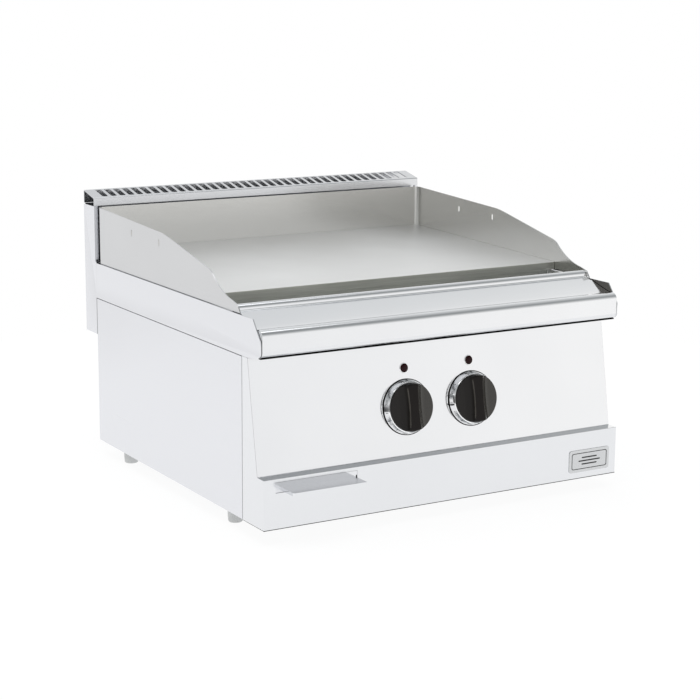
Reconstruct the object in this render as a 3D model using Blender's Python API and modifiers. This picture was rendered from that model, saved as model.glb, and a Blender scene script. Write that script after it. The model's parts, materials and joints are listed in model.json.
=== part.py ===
"""Electric counter-top griddle, 600 x 600 module, built as separate parts.

Metres, +Z up, X to the right, Y from the front (negative) to the back.
The origin is on the counter, under the middle of the overall box.
Depths are given as distances behind the front face of the fascia.
"""
import math

import bpy
import bmesh
from mathutils import Matrix, Vector

# ---- driving dimensions ----
WIDTH = 0.600            # over the two end plates
DEPTH = 0.600            # fascia to back of duct
TONGUE_REACH = 0.030     # the tray's tongue stands this far in front of the fascia
FRONT = TONGUE_REACH - (DEPTH + TONGUE_REACH) / 2
BADGE_PROUD = 0.0010
FOOT_H = 0.022
SHEET = 0.0015           # stainless sheet
GAP = 0.0003             # clearance between touching pieces
HALF = WIDTH / 2
INNER = HALF - SHEET - GAP   # half width between the outer sheets

# body
FASCIA_TOP = 0.092
LEDGE_D = 0.018          # the panel's foot stands this far behind the fascia
PANEL_TOP_D = 0.0453
BODY_TOP = 0.252
SIDE_SEAM_D = 0.0607
BODY_BACK_D = 0.556

# worktop and duct
WORKTOP_Z = 0.3075
FLANGE_W = 0.0115        # inward flange on each end plate
FLANGE_FRONT_D = 0.0935
DUCT_FRONT_D = 0.559
DUCT_BOTTOM = 0.194
DUCT_TOP = 0.3964
CAP_LIP_Z = 0.3967
CAP_FRONT_Z = 0.4094
CAP_BACK_Z = 0.4187
CAP_LIP_D = 0.5595
SLOT_COUNT = 38
SLOT_PITCH = 0.015
SLOT_W = 0.010

# griddle plate and splash guard
PLATE_T = 0.012
PLATE_FRONT_D = 0.1583
PLATE_BACK_D = 0.5510
PLATE_FRONT_Z = 0.321    # top surface at the front edge
PLATE_BACK_Z = 0.330     # top surface at the back edge
GUARD_X = 0.297
GUARD_BACK_D = 0.5528
GUARD_FOOT_Z = 0.308
GUARD_TOP_Z = 0.396
GUARD_BEND = 0.009

# grease gutter and tray
RIM_FRONT_D = 0.0791
RIM_BACK_D = 0.0925
RIM_Z = 0.3185
GUTTER_BOTTOM = 0.284
GUTTER_TOP = 0.3083
GUTTER_BACK_D = 0.165
SPOUT_D = 0.129
SPOUT_R = 0.014
TRAY_X = -0.2129         # middle of the grease tray
TRAY_W = 0.1148
TRAY_SLOT_X = (-0.2815, -0.1535)
TRAY_SLOT_Z = (0.0720, 0.0870)
TRAY_Z = (0.0735, 0.0855)
TRAY_FRONT_D = 0.0002
TRAY_BACK_D = 0.390
TONGUE_Z = 0.0780        # top of the tongue
LUG_Z = 0.0806           # the wide part of the tray's front starts here

# controls
KNOB_X = 0.055
KNOB_Z = 0.159
LAMP_UP = 0.0553         # from knob centre to lamp centre, along the panel
KNOB_R = 0.035
BEZEL_R = 0.039
SHAFT_R = 0.003

# feet
FOOT_X = 0.2795
FOOT_FRONT_D = 0.1225
FOOT_REAR_D = 0.480

# cable gland and bonding stud on the back panel
GLAND_X, GLAND_Z = 0.200, 0.070
BOND_X = 0.245

PANEL_TILT = math.atan2(PANEL_TOP_D - LEDGE_D, BODY_TOP - FASCIA_TOP)
PLATE_SLOPE = math.atan2(PLATE_BACK_Z - PLATE_FRONT_Z, PLATE_BACK_D - PLATE_FRONT_D)


def y_at(depth):
    """World Y of a place that lies this far behind the fascia."""
    return FRONT + depth


# ---- scene and collections ----
for old in list(bpy.data.objects):
    bpy.data.objects.remove(old, do_unlink=True)

parts = bpy.data.collections.new("flat_top_griddle")
cutters = bpy.data.collections.new("cutters")
bpy.context.scene.collection.children.link(parts)
bpy.context.scene.collection.children.link(cutters)


# ---- materials ----
FINISHES = {
    "satin_steel": ((0.80, 0.81, 0.83), 0.32, 1.0),
    "plate_steel": ((0.70, 0.70, 0.69), 0.25, 1.0),
    "galvanised": ((0.55, 0.57, 0.58), 0.50, 1.0),
    "chrome": ((0.85, 0.85, 0.86), 0.08, 1.0),
    "black_plastic": ((0.035, 0.032, 0.030), 0.35, 0.0),
    "grey_plastic": ((0.50, 0.51, 0.51), 0.50, 0.0),
    "white_ceramic": ((0.85, 0.83, 0.78), 0.60, 0.0),
    "lens": ((0.16, 0.015, 0.020), 0.15, 0.0),
    "wool": ((0.75, 0.72, 0.62), 0.95, 0.0),
    "element_sheath": ((0.20, 0.20, 0.18), 0.55, 0.8),
    "copper": ((0.72, 0.42, 0.28), 0.35, 1.0),
    "brass": ((0.78, 0.62, 0.30), 0.35, 1.0),
}


def finish(name):
    """The Principled material for a finish, made once."""
    if name in bpy.data.materials:
        return bpy.data.materials[name]
    colour, roughness, metallic = FINISHES[name]
    material = bpy.data.materials.new(name)
    material.use_nodes = True
    shader = material.node_tree.nodes["Principled BSDF"]
    shader.inputs["Base Color"].default_value = (*colour, 1.0)
    shader.inputs["Roughness"].default_value = roughness
    shader.inputs["Metallic"].default_value = metallic
    material.diffuse_color = (*colour, 1.0)
    return material


# ---- general modelling helpers ----
def new_object(name, mesh, material, smooth=False, collection=parts):
    """Wrap a mesh in an object of its own, in the parts collection."""
    obj = bpy.data.objects.new(name, mesh)
    collection.objects.link(obj)
    if material:
        mesh.materials.clear()
        mesh.materials.append(finish(material))
    if smooth:
        mesh.shade_smooth()
        mesh.set_sharp_from_angle(angle=math.radians(35))
    return obj


def as_cutter(obj):
    """Move an object to the cutters and keep it out of the render."""
    for holder in list(obj.users_collection):
        holder.objects.unlink(obj)
    cutters.objects.link(obj)
    obj.hide_render = True
    obj.display_type = "WIRE"
    return obj


def boolean(obj, tool, operation):
    """Join or cut with another object, which becomes a cutter."""
    modifier = obj.modifiers.new(operation.lower(), "BOOLEAN")
    modifier.operation = operation
    modifier.solver = "EXACT"
    modifier.object = as_cutter(tool)


def box(name, low, high, material=None):
    """A cuboid between two corners."""
    bm = bmesh.new()
    bmesh.ops.create_cube(bm, size=1.0)
    size = [b - a for a, b in zip(low, high)]
    centre = [(a + b) / 2 for a, b in zip(low, high)]
    bmesh.ops.scale(bm, vec=size, verts=bm.verts)
    bmesh.ops.translate(bm, vec=centre, verts=bm.verts)
    mesh = bpy.data.meshes.new(name)
    bm.to_mesh(mesh)
    bm.free()
    return new_object(name, mesh, material)


def cylinder(name, radius, low, high, material=None, sides=24, centre=(0, 0)):
    """A round bar along Z."""
    bm = bmesh.new()
    bmesh.ops.create_cone(bm, cap_ends=True, segments=sides, radius1=radius,
                          radius2=radius, depth=high - low)
    bmesh.ops.translate(bm, vec=(*centre, (low + high) / 2), verts=bm.verts)
    mesh = bpy.data.meshes.new(name)
    bm.to_mesh(mesh)
    bm.free()
    return new_object(name, mesh, material, smooth=bool(material))


def outline_solid(name, loops, thickness, matrix, material=None):
    """A flat outline, with any inner loops as holes, given a thickness."""
    curve = bpy.data.curves.new(name, "CURVE")
    curve.dimensions = "2D"
    curve.fill_mode = "BOTH"
    curve.extrude = thickness / 2
    for loop in loops:
        spline = curve.splines.new("POLY")
        spline.points.add(len(loop) - 1)
        for point, (u, v) in zip(spline.points, loop):
            point.co = (u, v, 0.0, 1.0)
        spline.use_cyclic_u = True
    holder = bpy.data.objects.new(name + "_outline", curve)
    parts.objects.link(holder)
    graph = bpy.context.evaluated_depsgraph_get()
    mesh = bpy.data.meshes.new_from_object(holder.evaluated_get(graph))
    bpy.data.objects.remove(holder, do_unlink=True)
    bm = bmesh.new()
    bm.from_mesh(mesh)
    bmesh.ops.remove_doubles(bm, verts=bm.verts, dist=0.00001)
    bm.transform(matrix)
    bmesh.ops.recalc_face_normals(bm, faces=bm.faces)
    bm.to_mesh(mesh)
    bm.free()
    return new_object(name, mesh, material)


def side_profile(name, loop, x_low, x_high, material=None):
    """A (Y, Z) outline drawn out along X."""
    matrix = Matrix(((0, 0, 1, (x_low + x_high) / 2), (1, 0, 0, 0),
                     (0, 1, 0, 0), (0, 0, 0, 1)))
    return outline_solid(name, [loop], x_high - x_low, matrix, material)


def front_sheet(name, loops, y_low, y_high, material=None):
    """An (X, Z) outline, with any inner loops as windows, drawn out along Y."""
    matrix = Matrix(((1, 0, 0, 0), (0, 0, -1, (y_low + y_high) / 2),
                     (0, 1, 0, 0), (0, 0, 0, 1)))
    return outline_solid(name, loops, y_high - y_low, matrix, material)


def front_profile(name, loop, y_low, y_high, material=None):
    """One (X, Z) outline drawn out along Y."""
    return front_sheet(name, [loop], y_low, y_high, material)


def plan_profile(name, loop, z_low, z_high, material=None):
    """An (X, Y) outline drawn out along Z."""
    matrix = Matrix.Translation((0, 0, (z_low + z_high) / 2))
    return outline_solid(name, [loop], z_high - z_low, matrix, material)


def rectangle(u_low, u_high, v_low, v_high):
    """The corners of a rectangle."""
    return [(u_low, v_low), (u_high, v_low), (u_high, v_high), (u_low, v_high)]


def arc(centre, radius, start, end, steps):
    """Points on an arc, angles in degrees."""
    points = []
    for i in range(steps + 1):
        angle = math.radians(start + (end - start) * i / steps)
        points.append((centre[0] + radius * math.cos(angle),
                       centre[1] + radius * math.sin(angle)))
    return points


def sheet_path(path, thickness):
    """Close a bent line into a strip; the sheet lies to its right."""
    inner = []
    for i, point in enumerate(path):
        here = Vector(point)
        before = Vector(path[i - 1]) if i else None
        after = Vector(path[i + 1]) if i + 1 < len(path) else None
        normals = []
        for a, b in ((before, here), (here, after)):
            if a is not None and b is not None:
                run = (b - a).normalized()
                normals.append(Vector((run.y, -run.x)))
        mean = sum(normals, Vector((0, 0))).normalized()
        inner.append(tuple(here + mean * (thickness / mean.dot(normals[0]))))
    return list(path) + inner[::-1]


def turned(name, profile, material, steps=32):
    """A closed (radius, height) profile turned round Z."""
    mesh = bpy.data.meshes.new(name)
    count = len(profile)
    corners = [(r, 0.0, z) for r, z in profile]
    edges = [(i, (i + 1) % count) for i in range(count)]
    if profile[0][0] == 0 and profile[-1][0] == 0:
        edges.pop()
    mesh.from_pydata(corners, edges, [])
    obj = new_object(name, mesh, material)
    screw = obj.modifiers.new("turn", "SCREW")
    screw.steps = steps
    screw.render_steps = steps
    screw.use_merge_vertices = True
    screw.merge_threshold = 0.00001
    screw.use_smooth_shade = False
    return obj


def tube(name, points, radius, material, radii=None, resolution=2):
    """A round wire or tube through the points."""
    curve = bpy.data.curves.new(name, "CURVE")
    curve.dimensions = "3D"
    curve.bevel_depth = radius
    curve.bevel_resolution = resolution
    curve.use_fill_caps = True
    curve.materials.append(finish(material))
    spline = curve.splines.new("POLY")
    spline.points.add(len(points) - 1)
    for i, point in enumerate(points):
        spline.points[i].co = (*point, 1.0)
        spline.points[i].radius = radii[i] if radii else 1.0
    obj = bpy.data.objects.new(name, curve)
    parts.objects.link(obj)
    return obj


def datum(name, location, rotation=(0, 0, 0)):
    """An empty that carries the pieces built in its frame."""
    empty = bpy.data.objects.new(name, None)
    empty.location = location
    empty.rotation_euler = rotation
    parts.objects.link(empty)
    return empty


def mirror_x(points, side):
    """Flip (x, y, z) points to the left for side -1."""
    return [(side * x, y, z) for x, y, z in points]


SIDES = (("left", -1), ("right", 1))


# ---- lower body ----
def base_pan():
    """Shallow folded pan that carries the feet and the rails."""
    low = (-INNER, y_at(SHEET + GAP), FOOT_H)
    high = (INNER, y_at(BODY_BACK_D - SHEET - GAP), FOOT_H + 0.012)
    pan = box("base_pan", low, high, "galvanised")
    bm = bmesh.new()
    bm.from_mesh(pan.data)
    lids = [face for face in bm.faces if face.normal.z > 0.9]
    bmesh.ops.delete(bm, geom=lids, context="FACES")
    bm.to_mesh(pan.data)
    bm.free()
    fold = pan.modifiers.new("sheet", "SOLIDIFY")
    fold.thickness = SHEET
    fold.offset = -1.0
    fold.use_even_offset = True
    for x in (-FOOT_X, FOOT_X):
        for depth in (FOOT_FRONT_D, FOOT_REAR_D):
            hole = cylinder("stud_hole", 0.0045, FOOT_H - 0.002, FOOT_H + 0.004,
                            sides=20, centre=(x, y_at(depth)))
            boolean(pan, hole, "DIFFERENCE")


def control_panel():
    """Folded front: fascia, ledge, tilted panel and two side returns."""
    loop = [
        (y_at(0), FOOT_H), (y_at(SIDE_SEAM_D), FOOT_H), (y_at(SIDE_SEAM_D), BODY_TOP),
        (y_at(PANEL_TOP_D), BODY_TOP), (y_at(LEDGE_D), FASCIA_TOP), (y_at(0), FASCIA_TOP),
    ]
    panel = side_profile("control_panel", loop, -HALF, HALF, "satin_steel")
    bm = bmesh.new()
    bm.from_mesh(panel.data)
    bmesh.ops.dissolve_limit(bm, angle_limit=0.01, verts=bm.verts, edges=bm.edges)
    open_sides = [
        face for face in bm.faces
        if face.normal.y > 0.9 or face.normal.z < -0.9
        or (face.normal.z > 0.9 and face.calc_center_median().z > BODY_TOP - 0.001)
    ]
    bmesh.ops.delete(bm, geom=open_sides, context="FACES")
    bm.to_mesh(panel.data)
    bm.free()
    fold = panel.modifiers.new("sheet", "SOLIDIFY")
    fold.thickness = SHEET
    fold.offset = -1.0
    fold.use_even_offset = True
    slot = box("tray_slot", (TRAY_SLOT_X[0], y_at(-0.01), TRAY_SLOT_Z[0]),
               (TRAY_SLOT_X[1], y_at(0.010), TRAY_SLOT_Z[1]))
    boolean(panel, slot, "DIFFERENCE")
    for x in (-KNOB_X, KNOB_X):
        for up, radius in ((0.0, 0.0055), (LAMP_UP, 0.006)):
            hole = cylinder("control_hole", radius, -0.012, 0.012, centre=(0, up))
            hole.parent = control_datum("hole_axis", x)
            boolean(panel, hole, "DIFFERENCE")


def control_datum(name, x):
    """Empty on the panel face at a knob centre, its +Z out of the panel."""
    rise = KNOB_Z - FASCIA_TOP
    y = y_at(LEDGE_D) + rise * math.tan(PANEL_TILT)
    return datum(name, (x, y, KNOB_Z), (math.pi / 2 - PANEL_TILT, 0, 0))


def body_panels():
    """Flat side panels, and the back panel with its vent windows."""
    for name, side in SIDES:
        inner, outer = side * (HALF - SHEET), side * HALF
        box("side_panel_" + name,
            (min(inner, outer), y_at(SIDE_SEAM_D + GAP), FOOT_H),
            (max(inner, outer), y_at(BODY_BACK_D), BODY_TOP), "satin_steel")
    top = WORKTOP_Z - SHEET - GAP
    loops = [rectangle(-INNER, INNER, FOOT_H, top)]
    for middle in (-0.180, 0.0, 0.180):
        loops.append(rectangle(middle - 0.070, middle + 0.070, 0.262, 0.290))
    rear = front_sheet("rear_panel", loops, y_at(BODY_BACK_D - SHEET),
                       y_at(BODY_BACK_D), "galvanised")
    for x, z, radius in ((GLAND_X, GLAND_Z, 0.0103), (BOND_X, GLAND_Z, 0.0044)):
        hole = cylinder("rear_hole", radius, -0.01, 0.01)
        hole.location = (x, y_at(BODY_BACK_D), z)
        hole.rotation_euler = (math.pi / 2, 0, 0)
        boolean(rear, hole, "DIFFERENCE")


def feet():
    """Four tapered feet with a stud up through the base pan."""
    profile = [
        (0, 0.040), (0.004, 0.040), (0.004, FOOT_H - GAP), (0.0125, FOOT_H - GAP),
        (0.0125, FOOT_H - 0.004), (0.0105, 0.0015), (0.009, 0), (0, 0),
    ]
    for depth_name, depth in (("front", FOOT_FRONT_D), ("rear", FOOT_REAR_D)):
        for name, side in SIDES:
            foot = turned("foot_%s_%s" % (depth_name, name), profile, "grey_plastic", 20)
            foot.location = (side * FOOT_X, y_at(depth), 0)


# ---- worktop ----
def end_plate(name, side):
    """One flat sheet: skirt, front profile and side of the duct."""
    loop = [(y_at(0.045), BODY_TOP + GAP), (y_at(0.0143), 0.2568)]
    loop += arc((y_at(0.0157), 0.2650), 0.0080, 232, 180, 3)
    loop += [(y_at(0.0077), 0.2804), (y_at(0.0198), 0.2954), (y_at(0.0293), WORKTOP_Z)]
    loop += arc((y_at(DUCT_FRONT_D - 0.005), WORKTOP_Z + 0.005), 0.005, 270, 360, 4)
    loop += [
        (y_at(DUCT_FRONT_D), DUCT_TOP), (y_at(DEPTH), DUCT_TOP), (y_at(DEPTH), DUCT_BOTTOM),
        (y_at(BODY_BACK_D + GAP), DUCT_BOTTOM), (y_at(BODY_BACK_D + GAP), BODY_TOP + GAP),
    ]
    inner, outer = side * (HALF - SHEET), side * HALF
    plate = side_profile("end_plate_" + name, loop, min(inner, outer),
                         max(inner, outer), "satin_steel")
    buried = side * (HALF - SHEET / 2)
    folds = (
        ("top_fold", FLANGE_W, (y_at(FLANGE_FRONT_D), WORKTOP_Z - SHEET),
         (y_at(DUCT_FRONT_D - 0.006), WORKTOP_Z)),
        ("duct_fold", 0.006, (y_at(DUCT_FRONT_D), WORKTOP_Z + 0.006),
         (y_at(DUCT_FRONT_D + SHEET), DUCT_TOP)),
    )
    for fold_name, width, low, high in folds:
        edge = side * (HALF - width)
        fold = box(fold_name, (min(buried, edge), *low), (max(buried, edge), *high))
        boolean(plate, fold, "UNION")


def worktop_front():
    """Folded front strip: hemmed rim, dished ledge and rolled nose."""
    path = [(y_at(0.042), 0.2620), (y_at(0.042), 0.2560), (y_at(0.0135), 0.2568)]
    path += arc((y_at(0.0150), 0.2650), 0.0080, 250, 180, 4)
    path += arc((y_at(0.0165), 0.2855), 0.0095, 180, 95, 6)
    path += [(y_at(0.0200), 0.2949), (y_at(0.0235), 0.2943)]
    path += [(y_at(0.0360), 0.2968), (y_at(0.0500), 0.3005), (y_at(0.0640), 0.3048)]
    path += [(y_at(0.0765), 0.3090), (y_at(RIM_FRONT_D), 0.3104)]
    middle = (RIM_FRONT_D + RIM_BACK_D) / 2
    bend = (RIM_BACK_D - RIM_FRONT_D) / 2
    path += arc((y_at(middle), RIM_Z - bend), bend, 175, 0, 7)
    path += [(y_at(RIM_BACK_D), 0.2990)]
    top = side_profile("worktop_front", sheet_path(path, SHEET), -INNER, INNER,
                       "satin_steel")
    for side in (-1, 1):
        near, far = side * (GUARD_X - SHEET - GAP), side * (HALF + 0.002)
        notch = box("guard_notch", (min(near, far), y_at(0.068), WORKTOP_Z - 0.004),
                    (max(near, far), y_at(0.110), RIM_Z + 0.01))
        boolean(top, notch, "DIFFERENCE")


def duct_walls():
    """Back wall of the duct, and its front wall with a foot flange."""
    box("duct_back_wall", (-INNER, y_at(DEPTH - SHEET), DUCT_BOTTOM),
        (INNER, y_at(DEPTH), CAP_LIP_Z + 0.001), "satin_steel")
    wall_d = CAP_LIP_D + SHEET + GAP
    path = [
        (y_at(BODY_BACK_D - SHEET), WORKTOP_Z), (y_at(wall_d), WORKTOP_Z),
        (y_at(wall_d), CAP_LIP_Z + 0.007),
    ]
    half = HALF - 0.006 - GAP
    side_profile("duct_front_wall", sheet_path(path, SHEET), -half, half, "satin_steel")


def flue_cap():
    """Loose cap on the duct: front lip, sloping top with slots, back fold."""
    path = [
        (y_at(CAP_LIP_D), CAP_LIP_Z), (y_at(CAP_LIP_D), CAP_FRONT_Z),
        (y_at(DEPTH), CAP_BACK_Z), (y_at(DEPTH), CAP_LIP_Z + 0.0013),
    ]
    cap = side_profile("flue_cap", sheet_path(path, SHEET), -HALF, HALF, "satin_steel")
    bm = bmesh.new()
    first = -(SLOT_COUNT - 1) / 2 * SLOT_PITCH
    y_low, y_high = y_at(CAP_LIP_D + 0.006), y_at(DEPTH - 0.0045)
    for i in range(SLOT_COUNT):
        x = first + i * SLOT_PITCH
        spot = (x, (y_low + y_high) / 2, (CAP_FRONT_Z + CAP_BACK_Z) / 2)
        size = Matrix.Diagonal((SLOT_W, y_high - y_low, 0.020, 1.0))
        bmesh.ops.create_cube(bm, size=1.0, matrix=Matrix.Translation(spot) @ size)
    mesh = bpy.data.meshes.new("cap_slots")
    bm.to_mesh(mesh)
    bm.free()
    boolean(cap, new_object("cap_slots", mesh, None), "DIFFERENCE")


# ---- cooking surface ----
def guard_top_line():
    """Top edge of a guard side, from the front foot to the back."""
    line = [(y_at(0.0715), GUARD_FOOT_Z - 0.002), (y_at(0.0715), GUARD_FOOT_Z)]
    line += [(y_at(0.0790), 0.3186)]
    line += arc((y_at(0.0790), 0.4335), 0.1122, -82, -48, 6)
    line += [(y_at(0.1600), 0.3537), (y_at(0.1660), 0.3556), (y_at(0.2901), 0.3809)]
    line += [(y_at(0.3030), 0.3833), (y_at(0.3150), 0.3852)]
    line += [(y_at(0.5528), GUARD_TOP_Z)]
    return line


def splash_guard():
    """One folded sheet: back wall and two shaped sides with hanging slots."""
    back, bend = y_at(GUARD_BACK_D), GUARD_BEND
    front = y_at(0.0715)
    path = [(-GUARD_X, front)]
    path += arc((-GUARD_X + bend, back - bend), bend, 180, 90, 5)
    path += arc((GUARD_X - bend, back - bend), bend, 90, 0, 5)
    path += [(GUARD_X, front)]
    guard = plan_profile("splash_guard", sheet_path(path, SHEET), GUARD_FOOT_Z,
                         GUARD_TOP_Z, "satin_steel")
    above = guard_top_line() + [(y_at(0.5528), 0.45), (y_at(0.05), 0.45), (y_at(0.05), 0.306)]
    boolean(guard, side_profile("guard_top_cut", above, -HALF, HALF), "DIFFERENCE")
    for depth, z in ((0.3283, 0.3698), (0.4247, 0.3716)):
        slot = box("hang_slot", (-HALF, y_at(depth) - 0.0018, z - 0.005),
                   (HALF, y_at(depth) + 0.0018, z + 0.005))
        boolean(guard, slot, "DIFFERENCE")


def griddle_plate(plate_frame):
    """Thick flat plate that falls a little to the front."""
    run = (PLATE_BACK_D - PLATE_FRONT_D) / math.cos(PLATE_SLOPE) - GAP
    half, corner = GUARD_X - SHEET - GAP, GUARD_BEND
    loop = [(-half, 0), (half, 0)]
    loop += arc((half - corner, run - corner), corner, 0, 90, 3)
    loop += arc((-half + corner, run - corner), corner, 90, 180, 3)
    plate = plan_profile("griddle_plate", loop, 0, PLATE_T, "plate_steel")
    plate.parent = plate_frame
    edge = plate.modifiers.new("edge", "BEVEL")
    edge.width = 0.0006
    edge.segments = 1
    edge.angle_limit = math.radians(60)


def gutter():
    """Open trough across the front, with its outlet, and the spout below."""
    low = (-HALF + FLANGE_W + GAP, y_at(RIM_BACK_D + GAP), GUTTER_BOTTOM)
    high = (HALF - FLANGE_W - GAP, y_at(GUTTER_BACK_D), GUTTER_TOP)
    trough = box("gutter_trough", low, high, "satin_steel")
    bm = bmesh.new()
    bm.from_mesh(trough.data)
    lids = [face for face in bm.faces if face.normal.z > 0.9]
    bmesh.ops.delete(bm, geom=lids, context="FACES")
    bm.to_mesh(trough.data)
    bm.free()
    fold = trough.modifiers.new("sheet", "SOLIDIFY")
    fold.thickness = SHEET
    fold.offset = -1.0
    fold.use_even_offset = True
    bore = SPOUT_R - SHEET
    outlet = cylinder("outlet", bore, GUTTER_BOTTOM - 0.005, GUTTER_BOTTOM + 0.005,
                      centre=(TRAY_X, y_at(SPOUT_D)))
    boolean(trough, outlet, "DIFFERENCE")
    top = GUTTER_BOTTOM - GAP
    profile = [
        (bore, top), (0.022, top), (0.022, top - 0.002), (SPOUT_R, top - 0.002),
        (SPOUT_R, 0.100), (bore, 0.100),
    ]
    spout = turned("drain_spout", profile, "satin_steel", 20)
    spout.location = (TRAY_X, y_at(SPOUT_D), 0)


def grease_tray():
    """Shallow drawer; its front carries a folded tongue to pull it by."""
    low, high = TRAY_Z
    half, back = TRAY_W / 2, y_at(TRAY_BACK_D)
    front = y_at(TRAY_FRONT_D)
    tip = y_at(-TONGUE_REACH)
    tray = box("grease_tray", (TRAY_X - half, front, low), (TRAY_X + half, back, high),
               "satin_steel")
    inner = half - SHEET
    hollow = box("tray_hollow", (TRAY_X - inner, front + SHEET, low + SHEET),
                 (TRAY_X + inner, back - SHEET, high + 0.006))
    boolean(tray, hollow, "DIFFERENCE")
    tongue = box("tray_tongue", (TRAY_X - half, tip, low),
                 (TRAY_X + half, front + SHEET / 2, TONGUE_Z))
    boolean(tray, tongue, "UNION")
    grip = box("tongue_hollow", (TRAY_X - inner, tip + SHEET, low - 0.002),
               (TRAY_X + inner, front, TONGUE_Z - SHEET))
    boolean(tray, grip, "DIFFERENCE")
    margin = 0.0005
    lug = box("tray_lug", (TRAY_SLOT_X[0] + margin, front, LUG_Z),
              (TRAY_SLOT_X[1] - margin, front + SHEET, TRAY_SLOT_Z[1] - margin))
    boolean(tray, lug, "UNION")


def tray_rails():
    """Two C-shaped rails under the tray's edges."""
    top, bottom = TRAY_Z[0] - GAP - SHEET, FOOT_H + 2 * SHEET + GAP
    for name, side in SIDES:
        web = TRAY_X + side * (TRAY_W / 2 + 0.003)
        path = [(web - side * 0.014, bottom), (web, bottom), (web, top),
                (web - side * 0.015, top)]
        front_profile("tray_rail_" + name, sheet_path(path, side * SHEET),
                      y_at(0.010), y_at(TRAY_BACK_D + 0.005), "galvanised")


def cross_rails():
    """Two box rails that carry the plate between the end plates."""
    half = HALF - FLANGE_W - GAP
    box("cross_rail_front", (-half, y_at(0.170), GUTTER_BOTTOM),
        (half, y_at(0.195), 0.3086), "galvanised")
    box("cross_rail_rear", (-half, y_at(0.515), 0.290),
        (half, y_at(0.545), 0.3165), "galvanised")


# ---- heating ----
def heating_element(name, side, plate_frame):
    """Tubular element: four runs under one half of the plate."""
    radius, depth, tail = 0.004, -0.0044, -0.045
    runs = [0.028, 0.104, 0.180, 0.256]
    near, far = 0.068, 0.340
    bend = (runs[1] - runs[0]) / 2
    points = [(runs[0], 0.056, tail), (runs[0], 0.056, depth - 0.010)]
    points += [(runs[0], 0.058, depth - 0.004), (runs[0], 0.064, depth)]
    for i in range(3):
        middle = (runs[i] + runs[i + 1]) / 2
        if i % 2 == 0:
            turn = arc((middle, far - bend), bend, 180, 0, 6)
        else:
            turn = arc((middle, near + bend), bend, 180, 360, 6)
        points += [(x, y, depth) for x, y in turn]
    points += [(runs[3], 0.064, depth), (runs[3], 0.058, depth - 0.004)]
    points += [(runs[3], 0.056, depth - 0.010), (runs[3], 0.056, tail)]
    element = tube("element_" + name, mirror_x(points, side), radius, "element_sheath")
    element.parent = plate_frame


def clamp_bars(plate_frame):
    """Flat bars that press the elements to the plate."""
    for name, start in (("front", 0.120), ("rear", 0.262)):
        bar = box("element_clamp_" + name, (-0.283, start, -0.0118),
                  (0.283, start + 0.022, -0.0088), "galvanised")
        bar.parent = plate_frame


def insulation():
    """Wool slab in a folded pan under the elements."""
    edge = HALF - FLANGE_W - GAP
    top, bottom = WORKTOP_Z - SHEET - GAP, 0.272
    path = [(-edge, top), (-edge, bottom), (edge, bottom), (edge, top)]
    front_profile("insulation_pan", sheet_path(path, -SHEET), y_at(0.222), y_at(0.508),
                  "galvanised")
    slab = edge - SHEET - 0.001
    box("insulation_slab", (-slab, y_at(0.224), bottom + SHEET + GAP),
        (slab, y_at(0.506), 0.2965), "wool")


def sensing_bulb(name, x, end, plate_frame):
    """Bulb against the plate, and its capillary down to the control."""
    plate = plate_frame.matrix_basis
    flat = [(x, 0.200, -0.0038), (x, 0.110, -0.0038), (x, 0.106, -0.0038),
            (x, 0.074, -0.0038)]
    points = [tuple(plate @ Vector(p)) for p in flat]
    y_drop = y_at(0.208)
    points += [(x, y_drop, 0.297), (x, y_drop, 0.265), (x, y_drop - 0.010, 0.252)]
    ex, ey, ez = end
    points += [(ex, ey + 0.040, ez + 0.030), (ex, ey + 0.015, ez + 0.002), (ex, ey, ez)]
    radii = [1.0, 1.0, 0.4] + [0.4] * (len(points) - 3)
    tube(name, points, 0.003, "copper", radii, 1)


# ---- controls ----
def knob_assembly(name, side):
    """Bezel, knob, shaft and thermostat on one axis."""
    axis = control_datum("control_%s_axis" % name, side * KNOB_X)
    ring = [
        (0.033, GAP), (0.0330, 0.0105), (0.0345, 0.0110), (0.0360, 0.0104),
        (BEZEL_R, 0.0020), (BEZEL_R, GAP),
    ]
    bezel = turned("knob_bezel_" + name, ring, "chrome", 40)
    body = [
        (0, 0.0210), (0.0310, 0.0210), (0.0328, 0.0198), (0.0342, 0.0170),
        (KNOB_R, 0.0138), (KNOB_R, 0.0122), (0.0340, 0.0117), (0.0135, 0.0117),
        (0.0125, 0.0020), (0.0032, 0.0020), (0.0032, 0.0150), (0, 0.0150),
    ]
    knob = turned("knob_" + name, body, "black_plastic", 36)
    scoop_r, scoop_x, scoop_z = 0.0275, 0.0220, 0.0430
    for scoop_side in (-1, 1):
        scoop = cylinder("knob_scoop", scoop_r, -0.045, 0.045, sides=64)
        scoop.rotation_euler = (math.pi / 2, 0, 0)
        scoop.location = (scoop_side * scoop_x, 0, scoop_z)
        scoop.parent = axis
        boolean(knob, scoop, "DIFFERENCE")
    shaft = cylinder("thermostat_shaft_" + name, SHAFT_R, -0.0140, 0.0147,
                     "brass", sides=16)
    control = box("thermostat_" + name, (-0.021, -0.024, -0.036),
                  (0.021, 0.024, -SHEET - GAP), "white_ceramic")
    bore = cylinder("shaft_bore", SHAFT_R + 0.0003, -0.0145, 0.01, sides=16)
    bore.parent = axis
    boolean(control, bore, "DIFFERENCE")
    for piece in (bezel, knob, shaft, control):
        piece.parent = axis


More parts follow.
